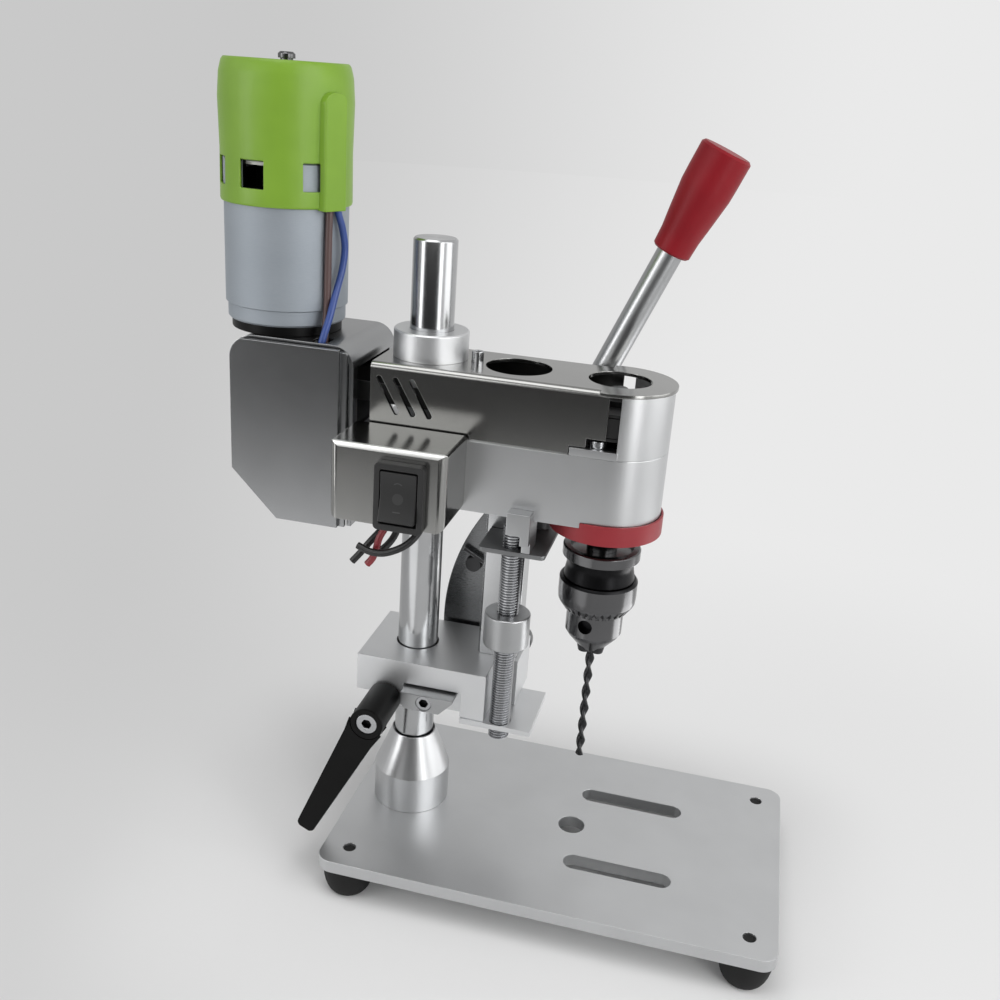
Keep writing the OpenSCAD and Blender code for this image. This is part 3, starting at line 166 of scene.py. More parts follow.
# %% Leads
LEAD_D = 2.9
ROUTES = {
    "lead_red": [(-0.8, -39.6, 171.5), (-0.8, -39.6, 167.5), (-0.9, -39.9, 163.5), (-1.2, -41.4, 159.5),
                 (-2.2, -43.8, 155.5), (-4.2, -45.4, 151), (-5.3, -46, 146), (-6.6, -46.2, 142), (-8.6, -46.6, 139.2)],
    "lead_black_front": [(12, -39.6, 171.5), (12, -39.6, 167.5), (12.1, -40, 163.5), (12.2, -42, 159.5),
                         (12, -44.9, 156.3), (9.4, -47.4, 152.4), (5.2, -49, 149.2), (-0.8, -49.6, 146.6),
                         (-6.6, -49.4, 146.2), (-12, -48.8, 147.8)],
    "lead_black_mid": [(3.4, -39.6, 171.5), (3.4, -39.6, 167), (3.2, -39.7, 162.5), (2.9, -40.4, 158.5),
                       (1.8, -41.1, 154), (0.2, -41.6, 150), (-2.6, -41.8, 146), (-6.2, -41.8, 142.6)],
    "lead_black_back": [(-0.8, -35.8, 175), (-0.8, -33.2, 175), (-0.9, -30.3, 174.4), (-1, -28, 172.8),
                        (-1.1, -26.8, 170.2), (-1.2, -26.8, 167), (-1.3, -28.2, 163.3), (-1.8, -30.8, 159.4),
                        (-3.2, -34.2, 155.4), (-6, -37.6, 151.2), (-9.6, -40.4, 146.6), (-13, -42.4, 141.8),
                        (-16, -44, 138)],
    "motor_lead_brown": [(-40, -12.6, 283), (-40, -12.6, 272), (-40.1, -13.1, 260), (-40.2, -13.3, 246),
                         (-40.3, -13.5, 234), (-40.5, -14.1, 227), (-40.4, -15.6, 220.5), (-40.2, -16.2, 215),
                         (-40.2, -16.2, 210)],
    "motor_lead_blue": [(-38.2, -9, 283), (-38.2, -9, 272), (-36.9, -6.8, 264), (-36.3, -5.3, 256),
                        (-36.6, -7.2, 247.5), (-37.1, -11.8, 239.5), (-37.3, -15.2, 234), (-37.8, -17.2, 229.5),
                        (-38.9, -19.6, 223.5), (-39.8, -20.9, 218), (-39.9, -21, 210)],
}


def along(points, steps=6):
    """Points on a smooth curve through the given points, closely spaced."""
    found = []
    for i in range(len(points) - 1):
        a, b, c, d = (Vector(points[min(max(k, 0), len(points) - 1)]) for k in (i - 1, i, i + 1, i + 2))
        for k in range(steps):
            t = k / steps
            found.append(0.5 * (2 * b + (c - a) * t + (2 * a - 5 * b + 4 * c - d) * t ** 2
                                + (3 * b - a - 3 * c + d) * t ** 3))
    return found + [Vector(points[-1])]


def wire(name, points, diameter):
    """A round wire: a curve through the points with a bevelled, capped section, made a mesh."""
    data = bpy.data.curves.new(name, "CURVE")
    data.dimensions = "3D"
    data.bevel_depth = diameter / 2 * MM
    data.bevel_resolution = 4
    data.use_fill_caps = True
    line = data.splines.new("POLY")
    line.points.add(len(points) - 1)
    for spot, p in zip(line.points, points):
        spot.co = (*press(*p), 1)
    piece = bpy.data.objects.new(name, data)
    bpy.context.scene.collection.objects.link(piece)
    take(piece)
    bpy.ops.object.convert(target="MESH")
    piece = bpy.context.object
    edit(piece, action="SELECT")
    bpy.ops.mesh.remove_doubles(threshold=0.00001)
    bpy.ops.mesh.normals_make_consistent(inside=False)
    done()
    return piece


for node, route in ROUTES.items():
    points = along(route)
    piece = settle(wire(node, points, LEAD_D), node + ".wire", node, 60)

# %% [markdown]
# Real edges are never razor sharp: a milled or folded edge has a small break that catches light.
# The CAD nodes have the true shape but sharp edges, and they must stay as they are, so each is
# copied, its loose triangles are merged into clean faces, and a small bevel is cut along the edges.

# %% Dressing a CAD node
def bend_cutter(x0, x1, y, z, radius):
    """What a fold of this radius takes off a sharp edge that runs along X, at the near top of a box."""
    cutter, shape = blank()
    turns = [math.pi / 2 * k / 12 for k in range(13)]
    arc = [(radius - radius * math.cos(a), radius * math.sin(a) - radius) for a in turns]
    outline = [(-1, 1), (-1, -radius)] + arc + [(radius, 1)]
    shape.faces.new([shape.verts.new(press(x0 - 1, y + dy, z + dz)) for dy, dz in outline])
    bmesh.update_edit_mesh(cutter.data)
    bpy.ops.mesh.select_all(action="SELECT")
    bpy.ops.mesh.extrude_region_move(TRANSFORM_OT_translate={"value": ((x1 - x0 + 2) * MM, 0, 0)})
    bpy.ops.mesh.select_all(action="SELECT")
    bpy.ops.mesh.normals_make_consistent(inside=False)
    done()
    return cutter


def dress(node, edge=0.25, segments=2, angle=35, smooth=30, merge=0.6, cutter=None):
    """A copy of a CAD node with merged faces, a fold if a cutter is given, and bevelled edges."""
    source = frame["nodes"][node]
    piece = bpy.data.objects.new(node, source.data.copy())
    bpy.context.scene.collection.objects.link(piece)
    piece.data.materials.clear()
    edit(piece, action="SELECT")
    bpy.ops.mesh.remove_doubles(threshold=0.000002)
    bpy.ops.mesh.customdata_custom_splitnormals_clear()
    if merge:
        bpy.ops.mesh.dissolve_limited(angle_limit=math.radians(merge), delimit={"NORMAL"})
    done()
    if cutter:
        modify(piece, "BOOLEAN", operation="DIFFERENCE", object=cutter, solver="EXACT")
        bpy.data.objects.remove(cutter)
    if edge:
        modify(piece, "BEVEL", width=edge * MM, segments=segments, limit_method="ANGLE",
               angle_limit=math.radians(angle), use_clamp_overlap=False, miter_outer="MITER_ARC")
    return settle(piece, node + ".dressed", node, smooth)


# the width of the broken edge, in millimetres; the lever's rod and grip are round and need none
EDGES = {
    "base_plate": 0.5, "rubber_feet": 0.4, "column_socket": 0.25, "column": 0.15, "column_bolt": 0.2,
    "height_bush": 0.15, "lift_block": 0.35, "clamp_jaw": 0.3, "clamp_jaw_screw": 0.25,
    "lower_bracket": 0.3, "block_screws": 0.25, "guide_bar": 0.25, "cam_pin": 0.3, "clamp_lever": 0.8,
    "clamp_stud": 0.25, "head_casting": 0.35, "column_sleeve": 0.15, "belt_cover": 0.2, "cover_pin": 0.25,
    "head_screws": 0.25, "front_shroud": 0.25, "red_ring": 0.3, "upper_bracket": 0.3, "rod_block": 0.45,
    "motor_bracket": 0.25, "inner_plate": 0.3, "side_plate": 0.3, "bracket_screws": 0.2,
    "motor_end_cap": 0.4, "motor_can": 0.15, "motor_fan_cover": 0.35, "switch_box": 0.15,
    "switch_frame": 0.4, "drive_belt": 0.2, "spindle_bearings": 0.15, "lever_pivot": 0.3, "depth_nut": 0.15,
    "cam_plate": 0.3, "lever_rod": 0, "lever_grip": 0, "stop_lug": 0.25, "spindle": 0.1,
    "spindle_pulley": 0.1, "chuck_body": 0.1, "chuck_sleeve": 0.08, "chuck_jaw_1": 0.1,
    "chuck_jaw_2": 0.1, "chuck_jaw_3": 0.1, "motor_shaft": 0.1, "motor_pulley": 0.1, "motor_fan": 0.2,
    "switch_rocker": 0.5,
}
BOX_LEFT, BOX_RIGHT, BOX_FRONT, BOX_TOP, BOX_FOLD = -24, 23.4, -50.4, 190.5, 1.9
for node, edge in EDGES.items():
    if node == "switch_box":
        dress(node, edge, cutter=bend_cutter(BOX_LEFT, BOX_RIGHT, BOX_FRONT, BOX_TOP, BOX_FOLD))
    elif node == "column_socket":
        dress(node, edge, smooth=15)
    elif node == "lever_rod":
        dress(node, edge, merge=0)
    else:
        dress(node, edge)
print("dressed", len(EDGES), "nodes,", sum(len(p.data.polygons) for p in made.values()), "faces")

# %% [markdown]
# The stop rod is cut with a screw thread of 1.25 mm pitch. A thread is a helix: one tooth of its
# profile is drawn, and the Screw modifier turns it round the axis while it climbs by one pitch a
# turn. The blank ends are then cut square with the bisect tool.

# %% Threaded rod
ROD = (44.3, -17.5)
ROD_R = 4.5
PITCH = 1.25
low, high = (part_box("threaded_rod")[k].z / MM - PLATE_TOP for k in (0, 1))
root_r = ROD_R - 0.6 * PITCH
turns = math.ceil((high - low) / PITCH) + 2
rod, shape = blank()
tooth = [(root_r, 0), (root_r, 0.16), (ROD_R, 0.42), (ROD_R, 0.6), (root_r, 0.86), (root_r, 1)]
row = [shape.verts.new((r * MM, 0, share * PITCH * MM)) for r, share in tooth]
for a, b in zip(row, row[1:]):
    shape.edges.new((a, b))
bmesh.update_edit_mesh(rod.data)
done()
modify(rod, "SCREW", angle=math.tau, screw_offset=PITCH * MM, iterations=turns, steps=40,
       render_steps=40, axis="Z", use_merge_vertices=True, merge_threshold=0.00001)
take(rod)
rod.location = press(*ROD, low - PITCH)
bpy.ops.object.transform_apply(location=True, rotation=True, scale=True)
for height, outer in ((low, False), (high, True)):
    edit(rod, action="SELECT")
    if not outer:
        bpy.ops.mesh.remove_doubles(threshold=0.00001)
        bpy.ops.mesh.normals_make_consistent(inside=False)
        bpy.ops.mesh.select_all(action="SELECT")
    bpy.ops.mesh.bisect(plane_co=press(*ROD, height), plane_no=(0, 0, 1), use_fill=True,
                        clear_outer=outer, clear_inner=not outer)
    done()
settle(rod, "threaded_rod.thread", "threaded_rod", 25)
print("thread turns", turns, "faces", len(rod.data.polygons))

# %% [markdown]
# A twist drill is a round bar with two helical flutes. Its section, a bar with two bites taken out,
# is turned by the Screw modifier while it climbs, and a cone of 118 degrees is cut on its tip. The
# plain shank above goes up between the chuck's jaws.

# %% Twist drill
DRILL_R = 2
DRILL_LEAD = 17
DRILL_OUT = 57
FLUTE_DEPTH = 0.62
LAND = 0.96
SECTION_STEPS = 48
HALF_POINT = 59
drill_low, drill_high = (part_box("drill_bit")[k].z / MM - PLATE_TOP for k in (0, 1))
fluted = DRILL_OUT + 2
section = []
for step in range(SECTION_STEPS):
    a = math.tau * step / SECTION_STEPS
    margin = 1 if abs(math.cos(a)) > 0.8 else LAND
    reach = DRILL_R * margin * (1 - FLUTE_DEPTH * abs(math.sin(a)) ** 1.5)
    section.append((reach * math.cos(a), reach * math.sin(a)))
drill, shape = blank()
row = [shape.verts.new((x * MM, y * MM, 0)) for x, y in section]
for a, b in zip(row, row[1:] + row[:1]):
    shape.edges.new((a, b))
bmesh.update_edit_mesh(drill.data)
done()
modify(drill, "SCREW", angle=-math.tau * fluted / DRILL_LEAD, screw_offset=fluted * MM, iterations=1,
       steps=160, render_steps=160, axis="Z", use_merge_vertices=False)
edit(drill, "EDGE")
bpy.ops.mesh.select_non_manifold()
bpy.ops.mesh.edge_face_add()
bpy.ops.mesh.select_all(action="SELECT")
bpy.ops.mesh.normals_make_consistent(inside=False)
done()
bpy.ops.object.select_all(action="DESELECT")
point_h = fluted + 1
wide = point_h * math.tan(math.radians(HALF_POINT))
bpy.ops.mesh.primitive_cone_add(vertices=64, radius1=0.0001, radius2=wide * MM, depth=point_h * MM,
                                location=(0, 0, point_h / 2 * MM))
cutter = bpy.context.object
modify(drill, "BOOLEAN", operation="INTERSECT", object=cutter, solver="EXACT")
bpy.data.objects.remove(cutter)
shank = drill_high - drill_low - fluted + 0.5
bpy.ops.object.select_all(action="DESELECT")
bpy.ops.mesh.primitive_cylinder_add(vertices=64, radius=DRILL_R * MM, depth=shank * MM,
                                    location=(0, 0, (fluted - 0.5 + shank / 2) * MM))
drill.select_set(True)
bpy.context.view_layer.objects.active = drill
bpy.ops.object.join()
drill.location = press(*DRILL_AXIS, drill_low)
settle(drill, "drill_bit.fluted", "drill_bit", 40)
print("drill from", round(drill_low, 1), "to", round(drill_high, 1), "mm")

# %% [markdown]
# Colours are written as sRGB hex values, as a paint chart gives them, and one function turns them
# linear. One more function adds a shader node with its settings and links.

# %% Colour and node helpers
def linear(hex_colour):
    """An sRGB hex colour such as 8ab63c as linear red, green, blue and alpha."""
    parts = [int(hex_colour[k:k + 2], 16) / 255 for k in (0, 2, 4)]
    return [p / 12.92 if p <= 0.04045 else ((p + 0.055) / 1.055) ** 2.4 for p in parts] + [1]


def add(tree, kind, inputs=None, **settings):
    """Adds one node. An input is a value, or another node's output to link from."""
    node = tree.nodes.new("ShaderNode" + kind)
    for name, value in settings.items():
        setattr(node, name, value)
    for name, value in (inputs or {}).items():
        if isinstance(value, bpy.types.NodeSocket):
            tree.links.new(value, node.inputs[name])
        else:
            node.inputs[name].default_value = value
    return node


def begin(name):
    """A new material with an empty tree and a Principled shader on its output."""
    material = bpy.data.materials.new(name)
    material.use_nodes = True
    tree = material.node_tree
    tree.nodes.clear()
    shader = add(tree, "BsdfPrincipled")
    add(tree, "OutputMaterial", {"Surface": shader.outputs["BSDF"]})
    return material, tree, shader


def surface(tree):
    """The socket that a material's shader goes into."""
    return [n for n in tree.nodes if n.type == "OUTPUT_MATERIAL"][0].inputs["Surface"]


def feed(tree, shader, **sockets):
    """Links or sets the shader's sockets; an underscore stands for a space."""
    for name, value in sockets.items():
        socket = shader.inputs[name.replace("_", " ")]
        if isinstance(value, bpy.types.NodeSocket):
            tree.links.new(value, socket)
        else:
            socket.default_value = value


def noise(tree, size_mm, stretch=(1, 1, 1), detail=3, seed=0):
    """Noise in Object coordinates whose grains are size_mm wide, drawn out by stretch."""
    place = add(tree, "TexCoord")
    turned = add(tree, "Mapping", {"Vector": place.outputs["Object"], "Location": (seed, seed * 0.7, seed * 1.3),
                                   "Scale": tuple(1 / (size_mm * MM * s) for s in stretch)})
    return add(tree, "TexNoise", {"Vector": turned.outputs["Vector"], "Scale": 1.0, "Detail": detail,
                                  "Roughness": 0.55}).outputs["Fac"]


def spread(tree, value, low, high, start=0.3, end=0.7):
    """Maps a pattern's value onto a range."""
    return add(tree, "MapRange", {"Value": value, "From Min": start, "From Max": end, "To Min": low,
                                  "To Max": high}).outputs["Result"]


def blend(tree, share, first, second):
    """A colour between two others."""
    mix = add(tree, "Mix", data_type="RGBA")
    tree.links.new(share, mix.inputs["Factor"])
    for name, colour in (("A", first), ("B", second)):
        socket = [s for s in mix.inputs if s.name == name and s.type == "RGBA"][0]
        socket.default_value = linear(colour)
    return [s for s in mix.outputs if s.type == "RGBA"][0]


# %% [markdown]
# Bare metal shows how it was made. Brushed and turned surfaces have fine lines along the tool's way,
# which stretch a highlight across them, and blasted or cast ones have a fine even grain. Each metal
# here is a full conductor with lines or grains of a real size in its roughness and a slight bump.

# %% Metals
ROUND = (8, 8, 1)
LONG = (20, 1, 1)
EVEN = (1, 1, 1)


def metal(name, dark, light, rough, line_mm=0.25, stretch=EVEN, bump=0.04, spread_rough=0.06, seed=0, turned=0):
    """A bare metal between two tones, with lines along a way, and turned rings if that is more than 0."""
    material, tree, shader = begin(name)
    lines = noise(tree, line_mm, stretch, 4, seed)
    patches = noise(tree, 22, (1, 1, 1), 2, seed + 3)
    colour = blend(tree, spread(tree, patches, 0, 1), dark, light)
    finish = spread(tree, lines, rough - spread_rough, rough + spread_rough)
    height = add(tree, "Bump", {"Strength": bump, "Distance": 0.05 * MM, "Height": lines})
    feed(tree, shader, Base_Color=colour, Metallic=1.0, Roughness=finish, Normal=height.outputs["Normal"])
    if turned:
        round_it = add(tree, "Tangent", direction_type="RADIAL", axis="Z")
        feed(tree, shader, Anisotropic=turned, Tangent=round_it.outputs["Tangent"])
    return material


finishes = {
    # wrought plate, brushed along its length and clear anodised: pale, soft streaks
    "plate_aluminium": metal("brushed anodised aluminium plate", "c4c5c6", "c8c9ca", 0.40, 0.3, (40, 1, 1), 0.03, 0.03),
    # milled and glass-bead blasted aluminium: an even, soft grey
    "cast_aluminium": metal("bead blasted aluminium", "bbbcbd", "c0c1c2", 0.34, 0.22, EVEN, 0.04, 0.02, 1),
    # hard chromed and ground shaft: near mirror, with rings too fine to see
    "ground_steel": metal("ground chromed steel", "a9aaab", "b1b2b3", 0.17, 0.3, ROUND, 0.004, 0.01, 2, 0.7),
    # cold rolled sheet, brushed and dark nickel plated
    "dark_sheet": metal("brushed black nickel sheet", "8e8f90", "939495", 0.24, 0.15, LONG, 0.015, 0.015, 3),
    # stainless sheet polished after folding
    "polished_sheet": metal("polished stainless sheet", "929290", "979795", 0.19, 0.15, (1, 20, 20), 0.01, 0.015, 4),
    "blackened_steel": metal("blackened steel", "3a3a3b", "444445", 0.32, 0.3, EVEN, 0.03, 0.03, 5),
    "zinc_steel": metal("bright zinc plated steel", "a6a7a9", "b0b1b3", 0.24, 0.25, EVEN, 0.02, 0.03, 6),
    "bronze": metal("sintered bronze", "8c6a45", "a37c50", 0.4, 0.2, EVEN, 0.2, 0.06, 7),
    "motor_steel": metal("satin zinc plated motor can", "989ea4", "9ca2a8", 0.68, 0.25, ROUND, 0.02, 0.02, 8),
    # real on the chuck's waist, and painted shade in the key holes, the can's vents and two screw sockets
    "black_oxide_and_hole_shade": metal("black oxide on hardened steel and painted hole shade", "1a1a1b", "202021", 0.34, 0.3, EVEN, 0.03, 0.03, 10),
    "chuck_steel": metal("ground chuck steel", "5c5c5d", "626263", 0.20, 0.3, (6, 6, 1), 0.01, 0.02, 23),
    "turned_aluminium": metal("turned aluminium", "b8b9ba", "bcbdbe", 0.30, 0.3, ROUND, 0.01, 0.02, 24, 0.5),
    "satin_chrome": metal("satin chromed rod", "a2a3a4", "a6a7a8", 0.30, 0.3, EVEN, 0.005, 0.01, 25),
    "turned_collar": metal("turned collar", "c6c7c8", "cacbcc", 0.42, 0.3, ROUND, 0.01, 0.02, 28),
    # on the switch box's left edge this finish is a painted shade
    "dark_nickel_and_edge_shade": metal("dark nickel plate and painted edge shade", "6c6d6e", "707172", 0.27, 0.15, LONG, 0.015, 0.015, 29),
    "milled_steel": metal("milled steel", "a2a3a4", "a8a9aa", 0.36, 0.3, EVEN, 0.02, 0.02, 26),
    "milled_aluminium": metal("milled aluminium block", "d2d3d4", "d6d7d8", 0.42, 0.25, LONG, 0.02, 0.02, 27),
    "matt_plate": metal("matt dark plate", "7c7d7e", "828384", 0.52, 0.25, LONG, 0.02, 0.02, 30),
    "satin_block": metal("satin steel block", "adaeaf", "b3b4b5", 0.30, 0.25, (1, 20, 1), 0.02, 0.02, 31),
    # the box's fold: rougher than its sheet, which is real, and much paler, which is a painted highlight
    "fold_painted_highlight": metal("brushed fold with painted highlight", "e2e2e0", "e6e6e4", 0.42, 0.15, (1, 20, 20), 0.01, 0.015, 32),
    "tool_steel": metal("black oxide tool steel", "2c2c2d", "3a3a3b", 0.28, 0.3, EVEN, 0.04, 0.04, 9),
}
print("metals:", len(finishes))

# %% [markdown]
# Plastics and rubber are not conductors: their colour comes from below a thin clear surface. Moulded
# parts take a fine spark-eroded grain from the mould, and rubber scatters more and shines less.

# %% Plastics and rubber
def moulded(name, dark, light, rough, grain_mm=0.35, bump=0.12, ior=1.49, seed=0, sheen=0.5):
    """A plastic or rubber between two tones, with the mould's grain."""
    material, tree, shader = begin(name)
    grain = noise(tree, grain_mm, (1, 1, 1), 2, seed)
    patches = noise(tree, 18, (1, 1, 1), 2, seed + 5)
    colour = blend(tree, spread(tree, patches, 0, 1), dark, light)
    height = add(tree, "Bump", {"Strength": bump, "Distance": 0.04 * MM, "Height": grain})
    feed(tree, shader, Base_Color=colour, Roughness=spread(tree, grain, rough - 0.05, rough + 0.05), IOR=ior,
         Specular_IOR_Level=sheen, Normal=height.outputs["Normal"])
    return material


finishes.update({
    "black_moulding": moulded("black glass filled nylon", "141414", "191919", 0.44, 0.35, 0.08, 1.53, 11),
    "black_nylon": moulded("black nylon lever", "070707", "0b0b0b", 0.40, 0.35, 0.06, 1.53, 22, 0.12),
    "green_moulding": moulded("lime green ABS", "73992a", "799f2e", 0.40, 0.5, 0.05, 1.53, 12, 0.35),
    "red_plastic": moulded("red dipped PVC grip", "7c111b", "83141e", 0.42, 0.4, 0.05, 1.50, 13, 0.18),
    "red_ring_plastic": moulded("red acetal ring", "88222a", "8d252c", 0.40, 0.4, 0.04, 1.48, 14, 0.4),
    "white_plastic": moulded("white nylon", "c9c9c4", "d8d8d3", 0.45, 0.4, 0.08, 1.53, 15),
    "black_rubber": moulded("black moulded rubber", "090909", "0e0e0e", 0.66, 0.4, 0.15, 1.52, 16, 0.3),
    "belt_rubber": moulded("neoprene belt", "141414", "1c1c1c", 0.66, 0.3, 0.3, 1.52, 17),
    "black_pvc": moulded("black PVC insulation", "090909", "0e0e0e", 0.42, 0.3, 0.05, 1.53, 18),
    "red_pvc": moulded("red PVC insulation", "7a2027", "82252c", 0.44, 0.3, 0.05, 1.53, 19),
    "blue_pvc": moulded("blue PVC insulation", "26407f", "2c478a", 0.40, 0.3, 0.05, 1.53, 20),
    "brown_pvc": moulded("brown PVC insulation", "4a3634", "533d3a", 0.42, 0.3, 0.05, 1.53, 21),
})
# these pieces look unlike others of their slot
OWN_FINISH = {
    "chuck_body": "chuck_steel", "chuck_sleeve": "chuck_steel", "spindle": "chuck_steel", "motor_shaft": "chuck_steel",
    "upper_bracket": "matt_plate", "rod_block": "satin_block", "lever_rod": "satin_chrome",
    "column_socket": "turned_aluminium", "column_sleeve": "turned_collar", "cam_plate": "dark_nickel_and_edge_shade",
    "depth_nut": "milled_steel", "clamp_jaw": "milled_steel", "lift_block": "milled_aluminium",
    "lower_bracket": "milled_aluminium", "motor_end_cap": "black_nylon", "clamp_lever": "black_nylon",
}
for node, piece in made.items():
    piece.data.materials.clear()
    piece.data.materials.append(finishes[OWN_FINISH.get(node, slot_of_node[node])])
print("finishes:", len(finishes))

# %% [markdown]
# One piece can have two finishes. The chuck's waist is left black from hardening, while its rims and
# nose are ground bright, so the faces whose corners all lie in the waist take a second one. The key
# holes, the motor can's vents and two screw sockets are chosen alike, and their black finish is painted
# shade in these hollows; the stop button is chosen alike, the box's left edge takes a painted shade
# and its fold a painted highlight.

# %% Second finishes
def second(node, finish, chosen):
    """Gives the faces whose corners all pass the test a second finish."""
    piece = made[node]
    piece.data.materials.append(finishes[finish])
    count = 0
    for face in piece.data.polygons:
        if all(chosen(piece.data.vertices[k].co) for k in face.vertices):
            face.material_index = len(piece.data.materials) - 1
            count += 1
    print(node, finish, count, "faces")


WAIST_LOW, WAIST_HIGH, SLEEVE_RIM = (press(0, 0, z).z for z in (129, 138.3, 128.1))
KEY_HOLE_HEIGHT = 109.7
KEY_HOLE_R = 3.3
KEY_HOLE_TURNS = (19, 139, 259)
MOTOR_X = -63.5
VENT_TURN = -97
VENT_HALF = 4.7
VENT_LOW, VENT_HIGH = (press(0, 0, z).z for z in (277.8, 288.8))
BUTTON_X = 18.4
BUTTON_R = 3.6
SLACK = 0.05
CLAMP_STUD, STUD_SOCKET_R = (-7.2, 64.3), 2.4
JAW_SCREW, SCREW_SOCKET_R = (12, 67.5), 2.2


def near_axis(x, z, radius):
    """A test for corners close to an axis that runs along Y."""
    spot = press(x, 0, z)
    return lambda c: math.hypot(c.x - spot.x, c.z - spot.z) < radius * MM


def key_hole(turn):
    """A test for corners inside one of the chuck's key holes, which point away from the drill axis."""
    a = math.radians(turn)
    heart = press(*DRILL_AXIS, KEY_HOLE_HEIGHT)

    def inside(c):
        outward = (c.x - heart.x) * math.cos(a) + (c.y - heart.y) * math.sin(a)
        aside = -(c.x - heart.x) * math.sin(a) + (c.y - heart.y) * math.cos(a)
        return outward > 0 and math.hypot(aside, c.z - heart.z) < KEY_HOLE_R * MM
    return inside


def vent(c):
    """A test for corners inside the motor can's two vents."""
    heart = press(MOTOR_X, 0, 0)
    a = math.radians(VENT_TURN)
    aside = -(c.x - heart.x) * math.sin(a) + (c.y - heart.y) * math.cos(a)
    return abs(aside) < VENT_HALF * MM and VENT_LOW < c.z < VENT_HIGH


second("chuck_body", "black_oxide_and_hole_shade", lambda c: WAIST_LOW < c.z < WAIST_HIGH)
second("chuck_sleeve", "black_oxide_and_hole_shade", lambda c: c.z > SLEEVE_RIM)
# the chuck's key holes are deep, and the black finish in them is painted shade
for turn in KEY_HOLE_TURNS:
    second("chuck_body", "black_oxide_and_hole_shade", key_hole(turn))
# the motor can's vents show only shade, and the black finish in them is painted shade
second("motor_can", "black_oxide_and_hole_shade", vent)
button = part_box("stop_lug")[0].z / MM - PLATE_TOP + BUTTON_R
on_button = near_axis(BUTTON_X, button, BUTTON_R + SLACK)
second("stop_lug", "zinc_steel", lambda c: not on_button(c))
# the box's left edge takes a darker finish, a painted shade that dulls the bright line a lamp puts
# there, and its fold, which is brushed along, is rougher and shines wider than its sides, and is much
# paler, which is a painted highlight
box_left, box_front, box_fold = press(BOX_LEFT + 1.7, BOX_FRONT + 1.7, BOX_TOP - 1.5)
second("switch_box", "dark_nickel_and_edge_shade", lambda c: c.x < box_left and c.y < box_front and c.z < box_fold)
_, fold_back, fold_foot = press(0, BOX_FRONT + 2, BOX_TOP - 2)
second("switch_box", "fold_painted_highlight", lambda c: c.y < fold_back and c.z > fold_foot)
# the sockets of the two screws at the clamp are deep, and the black finish in them is painted shade
second("clamp_stud", "black_oxide_and_hole_shade", near_axis(*CLAMP_STUD, STUD_SOCKET_R))
second("clamp_jaw_screw", "black_oxide_and_hole_shade", near_axis(*JAW_SCREW, SCREW_SOCKET_R))

# %% [markdown]
# The switch's rocker has three plain moulded marks, a little paler than its face: an arc above, a round
# dimple in the middle and a dash below. Each is a distance in Object coordinates, compared with a width.

# %% Rocker marks
material = finishes["black_moulding"].copy()
tree = material.node_tree
shader = [n for n in tree.nodes if n.type == "BSDF_PRINCIPLED"][0]
plain = shader.inputs["Base Color"].links[0].from_socket
place = add(tree, "TexCoord").outputs["Object"]
flat = add(tree, "VectorMath", {0: place, 1: (1, 0, 1)}, operation="MULTIPLY").outputs["Vector"]
height = add(tree, "SeparateXYZ", {"Vector": place}).outputs["Z"]
across = add(tree, "SeparateXYZ", {"Vector": place}).outputs["X"]


def ring(x, z, radius, width):
    spot = press(x, 0, z)
    gone = add(tree, "VectorMath", {0: flat, 1: (spot.x, 0, spot.z)}, operation="DISTANCE").outputs["Value"]
    return add(tree, "Math", {0: gone, 1: radius * MM, 2: width / 2 * MM}, operation="COMPARE").outputs["Value"]


def joined(first, other, how):
    return add(tree, "Math", {0: first, 1: other}, operation=how).outputs["Value"]


def within(value, heart, reach):
    return add(tree, "Math", {0: value, 1: heart, 2: reach * MM}, operation="COMPARE").outputs["Value"]


ROCKER_X = 5.8
ARC_Z, DIMPLE_Z, DASH_Z = 176.6, 172.2, 167.2
DIMPLE_SHARE = 0.45
arc = joined(ring(ROCKER_X, ARC_Z, 2.0, 0.35), joined(height, press(0, 0, ARC_Z + 1.3).z, "GREATER_THAN"), "MULTIPLY")
dimple = ring(ROCKER_X, DIMPLE_Z, 1.1, 2.2)
level = within(height, press(0, 0, DASH_Z).z, 0.2)
middle = within(across, press(ROCKER_X, 0, 0).x, 1.5)
dash = joined(level, middle, "MULTIPLY")
share = joined(joined(arc, dash, "MAXIMUM"), joined(dimple, DIMPLE_SHARE, "MULTIPLY"), "MAXIMUM")
mix = add(tree, "MixRGB", {"Fac": share, "Color1": plain, "Color2": linear("383838")})
tree.links.new(mix.outputs["Color"], shader.inputs["Base Color"])
made["switch_rocker"].data.materials[0] = material

# %% [markdown]
# The press stands on a pale floor under plain soft lamps. The world is pale too, and both show one
# tone to the camera and in polished metal.

# %% Floor, world and lamps
def tone_across(tree, place, back):
    """The room's pale tone, with painted shade: its left side, seen from the camera, is a little darker than its right,
    away from the key lamp.

    The place is a point seen from this far back, in metres, or a direction, seen from 0."""
    axes = add(tree, "SeparateXYZ", {"Vector": place})
    depth = add(tree, "Math", {0: axes.outputs["Y"], 1: back}, operation="ADD")
    depth = add(tree, "Math", {0: depth.outputs["Value"], 1: back / 2 + 0.02}, operation="MAXIMUM")
    across = add(tree, "Math", {0: axes.outputs["X"], 1: depth.outputs["Value"]}, operation="DIVIDE")
    across = add(tree, "MapRange", {"Value": across.outputs["Value"], "From Min": -0.5, "From Max": 0.1,
                                    "To Min": 0.0, "To Max": 1.0}, interpolation_type="SMOOTHSTEP")
    return blend(tree, across.outputs["Result"], "c9c9c9", "eaeaea")


bpy.ops.object.select_all(action="DESELECT")
bpy.ops.mesh.primitive_circle_add(vertices=96, radius=4, fill_type="NGON", location=(0, 0, 0))
floor = bpy.context.object
floor.name = "floor"
material, tree, shader = begin("pale floor")
feed(tree, shader, Base_Color=linear("e6e6e6"), Roughness=0.6, Specular_IOR_Level=0.0)
place = add(tree, "TexCoord")
